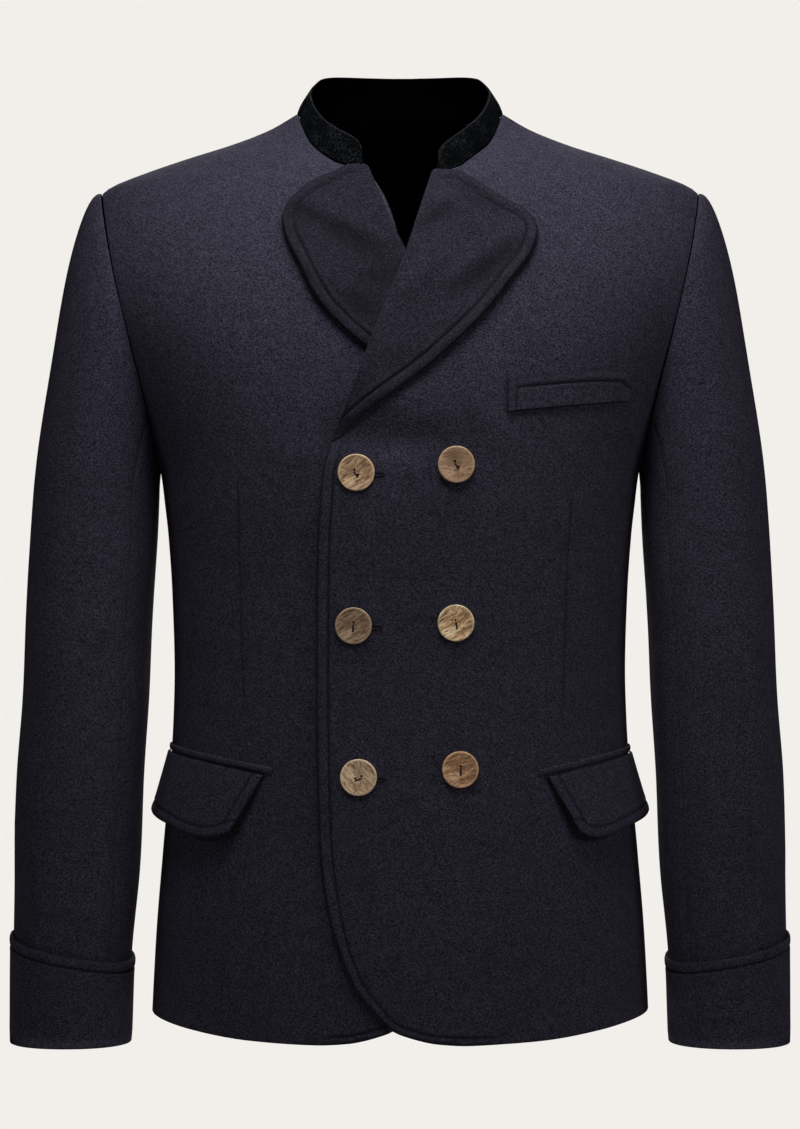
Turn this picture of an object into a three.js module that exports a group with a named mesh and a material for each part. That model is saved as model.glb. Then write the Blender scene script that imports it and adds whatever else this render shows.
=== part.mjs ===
// Double-breasted wool jacket with a velvet stand collar, in the hollow shape that it has when worn.
// Millimetres, +Z up. The front faces -Y and the wearer's left is +X. The origin lies between the
// shoulders, at the height where the collar meets the shoulder seams.
// Every piece is a wall of cloth whose two faces are grids of points on one body surface.

import * as THREE from 'three';

// ---------------------------------------------------------------- driving dimensions

const CLOTH = 2.2; // melton wool wall
const LAPEL_CLOTH = 2.4; // cloth and facing pressed together
const COLLAR_CLOTH = 3.0; // two layers and a stiffener
const SLEEVE_CLOTH = 2.0;
const TRIM_CLOTH = 1.9; // flaps, jets, welt and cuffs
const SEAM_GAP = 0.42; // between two pieces that are sewn edge to edge
const LAY_GAP = 0.8; // between a piece and the panel that it lies on
const OVERLAP_LIFT = CLOTH + LAY_GAP; // the wearer's left front lies over the right one
const LAPEL_LIFT = LAPEL_CLOTH + LAY_GAP; // and over the hidden end of the right lapel
const LIFT_MARGIN = 15; // the lift is whole this far past the edge of what lies under it
const LIFT_BLEND = 38; // and then comes back down over this width

const NECK_Z = 2.5; // top of the shoulder seam
const SHOULDER_Z = -59; // top of the armhole
const ARMPIT_Z = -272;
const HEM_Z = -684; // at the side seam
const HEM_BLEND_Z = -500; // above this height the rows of points are level
const FRONT_COLUMNS = 14;
const BACK_COLUMNS = 10;
const ARMHOLE_ROWS = 11;

const SHOULDER_ROWS = [NECK_Z, -3, -10, -18, -26, -34, -42, -48.5, -54];
const SKIRT_ROWS = [-304, -344, -386, -428, -470, -512, -554, -592, -624, -650, -668, HEM_Z];

// Level slices of the jacket: half width, depth to the front and to the back of the shoulder line,
// and how square the slice is in front and behind (2 is an ellipse).
const SLICES = [
  { z: -700, width: 191, front: 129, back: 124, frontSquare: 2.3, backSquare: 2.3 },
  { z: -621, width: 187, front: 126, back: 119, frontSquare: 2.3, backSquare: 2.3 },
  { z: -564, width: 182.5, front: 122, back: 113, frontSquare: 2.3, backSquare: 2.3 },
  { z: -460, width: 174, front: 118, back: 101, frontSquare: 2.3, backSquare: 2.3 },
  { z: -425, width: 173, front: 118, back: 100, frontSquare: 2.3, backSquare: 2.3 },
  { z: -367, width: 174.5, front: 121, back: 103.5, frontSquare: 2.3, backSquare: 2.3 },
  { z: -321, width: 177.5, front: 126, back: 109.5, frontSquare: 2.3, backSquare: 2.3 },
  { z: -300, width: 179.8, front: 128, back: 113, frontSquare: 2.3, backSquare: 2.3 },
  { z: -272, width: 183.5, front: 129.5, back: 116.5, frontSquare: 2.3, backSquare: 2.3 },
  { z: -250, width: 190.5, front: 129.8, back: 118.5, frontSquare: 2.3, backSquare: 2.3 },
  { z: -224, width: 201, front: 129, back: 120.5, frontSquare: 2.3, backSquare: 2.3 },
  { z: -205, width: 210, front: 127.5, back: 121, frontSquare: 2.3, backSquare: 2.3 },
  { z: -171, width: 226.5, front: 123, back: 120, frontSquare: 2.3, backSquare: 2.3 },
  { z: -131, width: 239.5, front: 114, back: 115.5, frontSquare: 2.25, backSquare: 2.3 },
  { z: -110, width: 241, front: 107.5, back: 112, frontSquare: 2.15, backSquare: 2.27 },
  { z: -90, width: 239.5, front: 99.5, back: 107.5, frontSquare: 2.03, backSquare: 2.21 },
  { z: -75, width: 236.5, front: 92.5, back: 104, frontSquare: 1.92, backSquare: 2.15 },
  { z: -65, width: 233, front: 87, back: 101.5, frontSquare: 1.85, backSquare: 2.11 },
  { z: SHOULDER_Z, width: 229, front: 83.3, back: 100, frontSquare: 1.8, backSquare: 2.08 },
  { z: -55, width: 224, front: 80.5, back: 99, frontSquare: 1.78, backSquare: 2.05 },
  { z: -44, width: 198, front: 70.5, back: 95.5, frontSquare: 1.72, backSquare: 2.02 },
  { z: -32, width: 164, front: 57, back: 90.5, frontSquare: 1.7, backSquare: 2.0 },
  { z: -21, width: 129, front: 43, back: 85, frontSquare: 1.7, backSquare: 2.0 },
  { z: -9, width: 99, front: 27, back: 79, frontSquare: 1.7, backSquare: 2.0 },
  { z: NECK_Z, width: 79.5, front: 8, back: 73, frontSquare: 1.7, backSquare: 2.0 },
];

// Where the armhole seam runs, seen from the front.
const ARMHOLE = [
  { z: ARMPIT_Z, x: 183.5 },
  { z: -250, x: 187 },
  { z: -224, x: 192 },
  { z: -205, x: 196 },
  { z: -171, x: 204.5 },
  { z: -131, x: 214.5 },
  { z: -83, x: 224.5 },
  { z: SHOULDER_Z, x: 229 },
];

// The neckline from the shoulder seam, measured from the centre line. The overlapping left front
// ends a little lower than the right one.
const LEFT_NECK_END = [
  { z: -52.5, x: 26 },
  { z: -50, x: 29 },
  { z: -47, x: 41.3 },
];
const RIGHT_NECK_END = [
  { z: -47.6, x: 25.8 },
  { z: -46, x: 29 },
  { z: -44, x: 41.2 },
];
const NECKLINE = [
  { z: -38, x: 52.7 },
  { z: -24, x: 67.5 },
  { z: -12, x: 73.4 },
  { z: NECK_Z, x: 78 },
];

// Free edge of each front below the neckline, measured towards that front's own side: the roll line
// of the lapel, the break at the chest, then the front edge down to the rounded corner.
const LEFT_EDGE = [
  { z: -655, x: -33 },
  { z: -626, x: -45.4 },
  { z: -590, x: -54.2 },
  { z: -553, x: -58.7 },
  { z: -502, x: -60.4 },
  { z: -443, x: -61.3 },
  { z: -357, x: -60.9 },
  { z: -324, x: -60.1 },
  { z: -296, x: -58.2 },
  { z: -275, x: -56.3 },
  { z: -258, x: -51.5 },
  { z: -233, x: -40.2 },
  { z: -217, x: -33.6 },
  { z: -173, x: -16.1 },
  { z: -120, x: 5.2 },
];
const RIGHT_EDGE = [
  { z: -655, x: -23 },
  { z: -626, x: -35.4 },
  { z: -590, x: -44.2 },
  { z: -553, x: -48.7 },
  { z: -502, x: -50.4 },
  { z: -264, x: -50.7 },
  { z: -233, x: -41 },
  { z: -172, x: -23.5 },
  { z: -120, x: -5.2 },
];

// Bottom edge of the left front, from the middle of its rounded corner to the side seam.
const HEM = [
  { x: -33, z: -655 },
  { x: -14.6, z: -677 },
  { x: -5, z: -685.7 },
  { x: 3.7, z: -689.3 },
  { x: 29, z: -695.2 },
  { x: 51, z: -696.5 },
  { x: 100, z: -695 },
  { x: 150, z: -690 },
  { x: 189, z: HEM_Z },
];
const RIGHT_HEM_SHIFT = -10; // the right corner sits this much further from its own edge
const BACK_HEM_DROP = 6; // the back hangs lower at its centre

// Outlines of the lapels on the chest, each measured towards its own side: the roll line, the top
// edge out to the rounded tip, and the outer edge down to the break.
const LEFT_LAPEL = {
  roll: [
    { x: 26.3, z: -52.6 }, { x: 16.5, z: -85 }, { x: 5.2, z: -119.6 }, { x: -16.1, z: -172.7 },
    { x: -33.6, z: -217 }, { x: -40.2, z: -233 }, { x: -47, z: -249 },
  ],
  top: [
    { x: 26.3, z: -52.6 }, { x: 42.6, z: -51.8 }, { x: 51, z: -55.6 },
    { x: 75, z: -71.5 }, { x: 92, z: -82 }, { x: 98.6, z: -88.5 },
  ],
  outer: [
    { x: 98.6, z: -88.5 }, { x: 101.3, z: -98 }, { x: 98, z: -111 }, { x: 81, z: -135.5 },
    { x: 59.4, z: -163 }, { x: 40.3, z: -182 }, { x: 17.6, z: -202 }, { x: -5.1, z: -218.5 },
    { x: -24.1, z: -232.5 }, { x: -43.5, z: -248.5 },
  ],
  rolledShare: 1, // how far down the roll line the cloth stands up
};
const RIGHT_LAPEL = {
  roll: [
    { x: 26, z: -48 }, { x: 12, z: -83 }, { x: -5.2, z: -119.6 }, { x: -23, z: -172 }, { x: -39, z: -228 },
  ],
  top: [
    { x: 26, z: -48 }, { x: 37, z: -47 }, { x: 51, z: -52.5 },
    { x: 62.7, z: -58.1 }, { x: 80, z: -73.5 }, { x: 84.5, z: -80 },
  ],
  outer: [
    { x: 84.5, z: -80 }, { x: 87, z: -89 }, { x: 85, z: -100 }, { x: 74.5, z: -122.8 },
    { x: 60.3, z: -150 }, { x: 40.4, z: -172 }, { x: 22, z: -187.3 }, { x: 0, z: -205 },
    { x: -18, z: -217 }, { x: -35.5, z: -227.5 },
  ],
  rolledShare: 0.3,
};
const LAPEL_ROWS = 14;
const LAPEL_COLUMNS = 7;
const LAPEL_ROLL_HEIGHT = 2.6; // the cloth stands up softly along the roll line

// Top edge of the stand collar, by the share of the neckline from the centre back to the front end.
const COLLAR_TOP = [
  { share: 0, x: 0, y: 63, z: 39.5 },
  { share: 0.03, x: 5.8, y: 62.8, z: 39.5 },
  { share: 0.1, x: 19, y: 60.5, z: 39.4 },
  { share: 0.18, x: 34.5, y: 54.3, z: 39 },
  { share: 0.26, x: 48.5, y: 44.2, z: 38 },
  { share: 0.34, x: 59, y: 32.5, z: 35.5 },
  { share: 0.42, x: 65.5, y: 20, z: 30 },
  { share: 0.524, x: 69, y: 3, z: 20 },
  { share: 0.62, x: 66, y: -15, z: 8.5 },
  { share: 0.73, x: 58, y: -32.5, z: -4 },
  { share: 0.83, x: 47.3, y: -46, z: -13.6 },
  { share: 0.9, x: 38.5, y: -54, z: -20 },
  { share: 0.95, x: 32.8, y: -59, z: -24.5 },
  { share: 0.98, x: 29.8, y: -62, z: -28.5 },
  { share: 1, x: 28, y: -64.5, z: -34 },
];
const LEFT_COLLAR_DROP = 2; // the left front end hangs this much lower than the table's
const RIGHT_COLLAR_RISE = 2; // and the right one stands this much higher
const COLLAR_ROWS = 4;
const COLLAR_BELLY = 1.6;

// Level slices of a sleeve below the armhole, and its outer and inner sides seen from the front.
const SLEEVE_SLICES = [
  { z: -706, outer: 294.8, inner: 207.6, depth: 45, middle: -25 },
  { z: -645, outer: 294.6, inner: 204.6, depth: 48, middle: -22 },
  { z: -575, outer: 294.6, inner: 199, depth: 52.5, middle: -18 },
  { z: -506, outer: 293, inner: 196, depth: 57, middle: -13 },
  { z: -448, outer: 290, inner: 193, depth: 61, middle: -9 },
  { z: -402, outer: 288, inner: 191, depth: 63, middle: -7 },
  { z: -367, outer: 286.3, inner: 189, depth: 64.5, middle: -5 },
  { z: -321, outer: 283.5, inner: 186.3, depth: 66, middle: -3 },
  { z: -290, outer: 281, inner: 185, depth: 66, middle: -2 },
];
const SLEEVE_SQUARE = 2.15;
const SLEEVE_START_Z = -290; // below this the slices are level
const SLEEVE_END_Z = -706;
const SLEEVE_ROWS = [-335, -385, -435, -485, -535, -585, -640, SLEEVE_END_Z];
const CAP_STEPS = [0, 0.12, 0.28, 0.48, 0.72, 1];
const CAP_RISE = { outward: 62, up: 22 }; // how the sleeve head leaves the shoulder
const UNDERSLEEVE = { from: 8, to: 15 }; // seams of the two-piece sleeve, in points round the armhole

const CUFF = { outerZ: -624, innerZ: -643, frontDrop: 4, bottomZ: -707, rows: 3 };

// Slanted hip flaps: angles round the body are in degrees from the centre front.
const FLAPS = [
  { side: 'left', front: 34.6, topFront: -501, topSide: -487, corner: 42.6, cornerZ: -541.5 },
  { side: 'right', front: 31.2, topFront: -499.4, topSide: -485.6, corner: 39.4, cornerZ: -542 },
];
const FLAP = { sideAngle: 88, lowestAngle: 49, lowestZ: -547.6, sideZ: -533.5, frontStand: 5.5, sideStand: 9.5 };
const JET = { height: 5.2, overhang: 2.2, clear: 0.6 }; // clear is its distance above the flap

const WELT = { left: 78.5, right: 170, leftTop: -207, rightTop: -199, leftBottom: -231.8, rightBottom: -221.4 };

const BUTTON = { radius: 13.5, thick: 3.4, bevel: 0.7, holeRadius: 1.0, holeBevel: 0.7, holeSpacing: 4.8, stand: 0.6 };
// The turn is the direction of the line through both thread holes, in degrees from level.
const BUTTONS = [
  { name: 'button_edge_top', x: -31.7, z: -277.9, turn: -56 },
  { name: 'button_inner_top', x: 40.7, z: -272.1, turn: -58 },
  { name: 'button_edge_middle', x: -33.8, z: -390.1, turn: 88 },
  { name: 'button_inner_middle', x: 40.7, z: -388.1, turn: -80 },
  { name: 'button_edge_bottom', x: -30.2, z: -501.9, turn: 22 },
  { name: 'button_inner_bottom', x: 43.9, z: -496.2, turn: 86 },
];

const WOOL = { color: 0x22212b, roughness: 0.95, metalness: 0 };
const VELVET = { color: 0x0d0f11, roughness: 1, metalness: 0 };
const WOOD = { color: 0xa98a5e, roughness: 0.6, metalness: 0 };

// ---------------------------------------------------------------- curves through tables

const mix = (a, b, t) => a + (b - a) * t;
const ease = (t) => {
  const c = Math.min(1, Math.max(0, t));
  return c * c * (3 - 2 * c);
};

// A smooth curve through a table's values that never swings past them.
function curveThrough(rows, key, value) {
  const xs = rows.map((row) => row[key]);
  const ys = rows.map((row) => row[value]);
  const last = xs.length - 1;
  const slope = (i) => (ys[i + 1] - ys[i]) / (xs[i + 1] - xs[i]);
  const tangents = xs.map((_, i) => {
    if (i === 0) return slope(0);
    if (i === last) return slope(last - 1);
    const before = slope(i - 1);
    const after = slope(i);
    if (before * after <= 0) return 0;
    const w1 = 2 * (xs[i + 1] - xs[i]) + (xs[i] - xs[i - 1]);
    const w2 = xs[i + 1] - xs[i] + 2 * (xs[i] - xs[i - 1]);
    return (w1 + w2) / (w1 / before + w2 / after);
  });
  return (x) => {
    if (x <= xs[0]) return ys[0];
    if (x >= xs[last]) return ys[last];
    const i = xs.findIndex((edge) => edge > x) - 1;
    const h = xs[i + 1] - xs[i];
    const t = (x - xs[i]) / h;
    const start = (1 + 2 * t) * (1 - t) ** 2 * ys[i] + t * (1 - t) ** 2 * h * tangents[i];
    return start + t * t * (3 - 2 * t) * ys[i + 1] + t * t * (t - 1) * h * tangents[i + 1];
  };
}

// A smooth path through a table's points, by the share of its length.
function pathThrough(rows, ...names) {
  let length = 0;
  const stations = rows.map((row, i) => {
    if (i > 0) length += Math.hypot(...names.map((name) => row[name] - rows[i - 1][name]));
    return { ...row, along: length };
  });
  const curves = names.map((name) => curveThrough(stations, 'along', name));
  return (share) => curves.map((curve) => curve(share * length));
}

// ---------------------------------------------------------------- the body surface

const sliceWidth = curveThrough(SLICES, 'z', 'width');
const frontDepth = curveThrough(SLICES, 'z', 'front');
const backDepth = curveThrough(SLICES, 'z', 'back');
const frontSquare = curveThrough(SLICES, 'z', 'frontSquare');
const backSquare = curveThrough(SLICES, 'z', 'backSquare');
const armholeX = curveThrough(ARMHOLE, 'z', 'x');
const leftHem = curveThrough(HEM, 'x', 'z');

const signedPower = (value, power) => Math.sign(value) * Math.abs(value) ** power;

// How far a point is outside the body surface, as a share of the slice's size.
function outsideness(p) {
  const behind = p.y > 0;
  const square = behind ? backSquare(p.z) : frontSquare(p.z);
  const depth = behind ? backDepth(p.z) : frontDepth(p.z);
  return (Math.abs(p.x) / sliceWidth(p.z)) ** square + (Math.abs(p.y) / depth) ** square;
}

function outward(p) {
  const step = 0.05;
  const gradient = new THREE.Vector3();
  for (const axis of ['x', 'y', 'z']) {
    const ahead = p.clone();
    const behind = p.clone();
    ahead[axis] += step;
    behind[axis] -= step;
    gradient[axis] = outsideness(ahead) - outsideness(behind);
  }
  return gradient.normalize();
}

const movedOut = (p, distance) => p.clone().addScaledVector(outward(p), distance);

// Angle round the body, from the centre front, of a point x on the slice at z.
function angleAt(x, z, square) {
  const share = Math.min(1, Math.abs(x) / sliceWidth(z));
  return Math.sign(x) * Math.asin(share ** (square / 2));
}

function bodyPoint(angle, z) {
  const behind = Math.cos(angle) < 0;
  const power = 2 / (behind ? backSquare(z) : frontSquare(z));
  const depth = behind ? backDepth(z) : frontDepth(z);
  const x = sliceWidth(z) * signedPower(Math.sin(angle), power);
  return new THREE.Vector3(x, -depth * signedPower(Math.cos(angle), power), z);
}

function frontPoint(x, z) {
  return bodyPoint(angleAt(x, z, frontSquare(z)), z);
}

// ---------------------------------------------------------------- closed walls from grids of points

// Joins an outer and an inner grid of points into one closed wall. A ring's columns close on themselves.
function wall(outer, inner, ring = false) {
  const rows = outer.length;
  const columns = outer[0].length;
  const points = [...outer.flat(), ...inner.flat()];
  const at = (side, row, column) => (side * rows + row) * columns + (column % columns);
  const index = [];
  const quad = (a, b, c, d) => index.push(a, b, c, a, c, d);
  const lastColumn = ring ? columns : columns - 1;
  const apart = (i, j) => points[i].distanceTo(points[j]);
  for (let r = 0; r < rows - 1; r += 1) {
    for (let c = 0; c < lastColumn; c += 1) {
      // each cell of both faces is split along its shorter diagonal
      const [a, b, d, e] = [at(0, r, c), at(0, r + 1, c), at(0, r + 1, c + 1), at(0, r, c + 1)];
      const [f, g, h, i] = [at(1, r, c), at(1, r, c + 1), at(1, r + 1, c + 1), at(1, r + 1, c)];
      if (apart(a, d) <= apart(b, e)) {
        quad(a, b, d, e);
        quad(f, g, h, i);
      } else {
        quad(b, d, e, a);
        quad(g, h, i, f);
      }
    }
    if (!ring) {
      quad(at(0, r, 0), at(1, r, 0), at(1, r + 1, 0), at(0, r + 1, 0));
      quad(at(0, r, lastColumn), at(0, r + 1, lastColumn), at(1, r + 1, lastColumn), at(1, r, lastColumn));
    }
  }
  for (let c = 0; c < lastColumn; c += 1) {
    quad(at(0, 0, c), at(0, 0, c + 1), at(1, 0, c + 1), at(1, 0, c));
    quad(at(0, rows - 1, c), at(1, rows - 1, c), at(1, rows - 1, c + 1), at(0, rows - 1, c + 1));
  }
  return facingOut(points, index);
}

// Turns every triangle over if the closed shape that they make is inside out.
function facingOut(points, index) {
  let volume = 0;
  for (let i = 0; i < index.length; i += 3) {
    const [a, b, c] = [points[index[i]], points[index[i + 1]], points[index[i + 2]]];
    volume += a.dot(b.clone().cross(c));
  }
  const geometry = new THREE.BufferGeometry().setFromPoints(points);
  geometry.setIndex(volume < 0 ? index.slice().reverse() : index);
  geometry.computeVertexNormals();
  return geometry;
}

const mirrored = (grid) => grid.map((row) => row.map((p) => new THREE.Vector3(-p.x, p.y, p.z)));

const jacket = new THREE.Group();
jacket.name = 'trachten_jacket';

function addPiece(name, geometry, finish) {
  const mesh = new THREE.Mesh(geometry, new THREE.MeshStandardMaterial(finish));
  mesh.name = name;
  jacket.add(mesh);
  return mesh;
}

// Builds the wall for the wearer's left, or its mirror image for the right.
function addWall(name, outer, inner, finish, { mirror = false, ring = false } = {}) {
  const grids = mirror ? [mirrored(outer), mirrored(inner)] : [outer, inner];
  return addPiece(name, wall(...grids, ring), finish);
}

// ---------------------------------------------------------------- rows of points down the body

const ARMHOLE_LEVELS = Array.from({ length: ARMHOLE_ROWS + 1 }, (_, k) =>
  mix(SHOULDER_Z, ARMPIT_Z, (1 - Math.cos((Math.PI * k) / ARMHOLE_ROWS)) / 2));
const BODY_LEVELS = [...SHOULDER_ROWS, ...ARMHOLE_LEVELS, ...SKIRT_ROWS];

const hemShare = (z) => Math.max(0, (HEM_BLEND_Z - z) / (HEM_BLEND_Z - HEM_Z)) ** 2;

// Angle of the panel's far end: the shoulder seam and side seam, or the armhole between them.
function outerAngle(z, square) {
  const inArmhole = z < SHOULDER_Z && z > ARMPIT_Z;
  return inArmhole ? angleAt(armholeX(z), z, square) : Math.PI / 2;
}

// ---------------------------------------------------------------- fronts

const LEFT = { edge: curveThrough([...LEFT_EDGE, ...LEFT_NECK_END, ...NECKLINE], 'z', 'x'), hem: leftHem };
const RIGHT = {
  edge: curveThrough([...RIGHT_EDGE, ...RIGHT_NECK_END, ...NECKLINE], 'z', 'x'),
  hem: (x) => leftHem(x + RIGHT_HEM_SHIFT),
};

const rightLapelZ = curveThrough(RIGHT_LAPEL.outer.slice(3).reverse(), 'x', 'z');
const liftPast = (distance) => ease((LIFT_MARGIN + LIFT_BLEND - distance) / LIFT_BLEND);

// How far the left front is lifted by the underlap and by the right lapel's hidden end.
function leftLift(x, z) {
  const pastUnderlap = x + RIGHT.edge(z);
  const belowLapel = rightLapelZ(-x) - z;
  return liftPast(pastUnderlap) * (OVERLAP_LIFT + liftPast(belowLapel) * LAPEL_LIFT);
}

// One front as rows of surface points, with the distance that each is moved out.
function frontGrid({ edge, hem }, lift, thickness) {
  return BODY_LEVELS.map((level) => {
    const share = hemShare(level);
    const edgeZ = level + share * (hem(-Infinity) - HEM_Z);
    const square = frontSquare(level);
    const start = angleAt(edge(edgeZ), level, square);
    const end = outerAngle(level, square);
    return Array.from({ length: FRONT_COLUMNS + 1 }, (_, c) => {
      const angle = mix(start, end, c / FRONT_COLUMNS);
      const flat = bodyPoint(angle, level);
      const z = level + share * (hem(flat.x) - HEM_Z);
      const p = bodyPoint(angle, z);
      const moved = movedOut(p, lift(p.x, p.z) - thickness);
      if (c === FRONT_COLUMNS && end === Math.PI / 2) moved.y -= SEAM_GAP / 2;
      return moved;
    });
  });
}

function addFront(name, shape, lift, mirror) {
  addWall(name, frontGrid(shape, lift, 0), frontGrid(shape, lift, CLOTH), WOOL, { mirror });
}

const noLift = () => 0;

// ---------------------------------------------------------------- backs

function backGrid(thickness) {
  return BODY_LEVELS.map((level) => {
    const start = Math.PI - outerAngle(level, backSquare(level));
    return Array.from({ length: BACK_COLUMNS + 1 }, (_, c) => {
      const angle = mix(start, Math.PI, c / BACK_COLUMNS);
      const drop = hemShare(level) * BACK_HEM_DROP * Math.cos(angle) ** 2;
      const moved = movedOut(bodyPoint(angle, level - drop), -thickness);
      if (c === 0 && start === Math.PI / 2) moved.y += SEAM_GAP / 2;
      if (c === BACK_COLUMNS) moved.x = SEAM_GAP / 2;
      return moved;
    });
  });
}

// ---------------------------------------------------------------- lapels

// A patch between four border paths, for places given as pairs of numbers.
function patch(top, bottom, start, end, rows, columns, place) {
  const corner = [top(0), top(1), bottom(0), bottom(1)];
  return Array.from({ length: rows + 1 }, (_, r) => {
    const s = r / rows;
    return Array.from({ length: columns + 1 }, (_, c) => {
      const t = c / columns;
      const pair = [0, 1].map((k) => {
        const across = mix(start(s)[k], end(s)[k], t) + mix(top(t)[k], bottom(t)[k], s);
        return across - mix(mix(corner[0][k], corner[1][k], t), mix(corner[2][k], corner[3][k], t), s);
      });
      return place(pair[0], pair[1], s, t);
    });
  });
}

const straight = (from, to) => (t) => [mix(from[0], to[0], t), mix(from[1], to[1], t)];

function addLapel(name, shape, lift, mirror) {
  const [roll, top, outer] = ['roll', 'top', 'outer'].map((key) => pathThrough(shape[key], 'x', 'z'));
  const bottom = straight(roll(1), outer(1));
  const grid = (height) => patch(top, bottom, roll, outer, LAPEL_ROWS, LAPEL_COLUMNS, (x, z, s, t) => {
    const rolled = LAPEL_ROLL_HEIGHT * (1 - t) ** 3 * Math.max(0, 1 - s / shape.rolledShare);
    const p = frontPoint(x, z);
    return movedOut(p, lift(x, z) + LAY_GAP + rolled + height);
  });
  addWall(name, grid(LAPEL_CLOTH), grid(0), WOOL, { mirror });
}

// ---------------------------------------------------------------- collar

// The neckline from the centre back round to the front end, measured towards its own side.
function necklinePoints({ edge }, endZ) {
  const back = Array.from({ length: BACK_COLUMNS }, (_, c) =>
    bodyPoint(mix(Math.PI, Math.PI / 2, c / BACK_COLUMNS), NECK_Z));
  const levels = [...SHOULDER_ROWS.filter((z) => z > endZ + 2), endZ];
  return [...back, ...levels.map((z) => frontPoint(edge(z), z))];
}

// One half of the collar as columns of points from the neckline up to the top edge.
function collarColumns(shape, endZ, raise) {
  const half = necklinePoints(shape, endZ);
  let length = 0;
  const along = half.map((p, i) => (length += i ? p.distanceTo(half[i - 1]) : 0));
  const edges = ['x', 'y', 'z'].map((axis) => curveThrough(COLLAR_TOP, 'share', axis));
  return half.map((p, i) => {
    const share = along[i] / length;
    const top = new THREE.Vector3(...edges.map((curve) => curve(share)));
    top.z += raise * ease(share * 4 - 3);
    const rise = top.clone().sub(p).normalize();
    const foot = p.clone().addScaledVector(rise, SEAM_GAP + 0.1);
    const bulge = outward(p).setZ(0).normalize();
    return Array.from({ length: COLLAR_ROWS + 1 }, (_, r) => {
      const t = r / COLLAR_ROWS;
      return foot.clone().lerp(top, t).addScaledVector(bulge, COLLAR_BELLY * Math.sin(Math.PI * t));
    });
  });
}

function addCollar() {
  const leftHalf = collarColumns(LEFT, LEFT_NECK_END[0].z + 1, -LEFT_COLLAR_DROP);
  const rightHalf = collarColumns(RIGHT, RIGHT_NECK_END[0].z + 1, RIGHT_COLLAR_RISE);
  const outer = [...mirrored(rightHalf.slice(1).reverse()), ...leftHalf];
  addWall('collar', outer, movedIn(outer, COLLAR_CLOTH), VELVET);
}

// A second face for a grid of points, moved towards the middle of the grid's own curve.
function movedIn(grid, thickness, ring = false) {
  const rows = grid.length;
  const columns = grid[0].length;
  const clampRow = (r) => Math.min(rows - 1, Math.max(0, r));
  const nearColumn = (c) => (ring ? (c + columns) % columns : Math.min(columns - 1, Math.max(0, c)));
  const middle = new THREE.Vector3();
  grid.flat().forEach((p) => middle.addScaledVector(p, 1 / (rows * columns)));
  return grid.map((row, r) => row.map((p, c) => {
    const down = grid[clampRow(r + 1)][c].clone().sub(grid[clampRow(r - 1)][c]);
    const across = row[nearColumn(c + 1)].clone().sub(row[nearColumn(c - 1)]);
    const normal = down.cross(across).normalize();
    const inward = Math.sign(normal.dot(middle.clone().sub(p))) || 1;
    return p.clone().addScaledVector(normal, inward * thickness);
  }));
}

// ---------------------------------------------------------------- sleeves and cuffs

const sleeveOuter = curveThrough(SLEEVE_SLICES, 'z', 'outer');
const sleeveInner = curveThrough(SLEEVE_SLICES, 'z', 'inner');
const sleeveDepth = curveThrough(SLEEVE_SLICES, 'z', 'depth');
const sleeveMiddle = curveThrough(SLEEVE_SLICES, 'z', 'middle');
const ROUND_POINTS = 2 * ARMHOLE_ROWS;

// A point of a level slice of the sleeve; the turn starts at the outer side and goes round the front.
function sleevePoint(turn, z, grow = 0) {
  const halfWidth = (sleeveOuter(z) - sleeveInner(z)) / 2 + grow;
  const middleX = (sleeveOuter(z) + sleeveInner(z)) / 2;
  const power = 2 / SLEEVE_SQUARE;
  const x = middleX + halfWidth * signedPower(Math.cos(turn), power);
  const y = sleeveMiddle(z) - (sleeveDepth(z) + grow) * signedPower(Math.sin(turn), power);
  return new THREE.Vector3(x, y, z);
}

// The armhole seam as a closed round of points: down the front from the shoulder, up the back.
function armholeRound() {
  const point = (z, behind) => {
    const square = behind ? backSquare(z) : frontSquare(z);
    const angle = outerAngle(z, square);
    return bodyPoint(behind ? Math.PI - angle : angle, z);
  };
  const front = ARMHOLE_LEVELS.map((z) => point(z, false));
  const back = ARMHOLE_LEVELS.slice(1, -1).reverse().map((z) => point(z, true));
  return [...front, ...back];
}

const ARMHOLE_POINTS = armholeRound();

// A point of the sleeve head: it leaves the armhole outwards and arrives going straight down.
function capPoint(position, t) {
  const turn = (2 * Math.PI * position) / ROUND_POINTS;
  const before = Math.floor(position);
  const seam = ARMHOLE_POINTS[before % ROUND_POINTS].clone()
    .lerp(ARMHOLE_POINTS[(before + 1) % ROUND_POINTS], position - before);
  const end = sleevePoint(turn, SLEEVE_START_Z);
  const reach = seam.distanceTo(end);
  const low = (1 - Math.cos(turn)) / 2;
  const leave = new THREE.Vector3(
    mix(CAP_RISE.outward, 2, low ** 0.8), -20 * Math.sin(turn), mix(CAP_RISE.up, -18, low ** 0.5));
  const arrive = new THREE.Vector3(mix(24, 0, low), 0, -reach * 1.05);
  const start = seam.addScaledVector(leave.clone().normalize(), SEAM_GAP + 0.1);
  return start.multiplyScalar((1 + 2 * t) * (1 - t) ** 2)
    .addScaledVector(leave, t * (1 - t) ** 2)
    .addScaledVector(end, t * t * (3 - 2 * t))
    .addScaledVector(arrive, t * t * (t - 1));
}

function sleeveGrid(positions) {
  const cap = CAP_STEPS.map((t) => positions.map((position) => capPoint(position, t)));
  const arm = SLEEVE_ROWS.map((z) =>
    positions.map((position) => sleevePoint((2 * Math.PI * position) / ROUND_POINTS, z)));
  return [...cap, ...arm];
}

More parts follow.
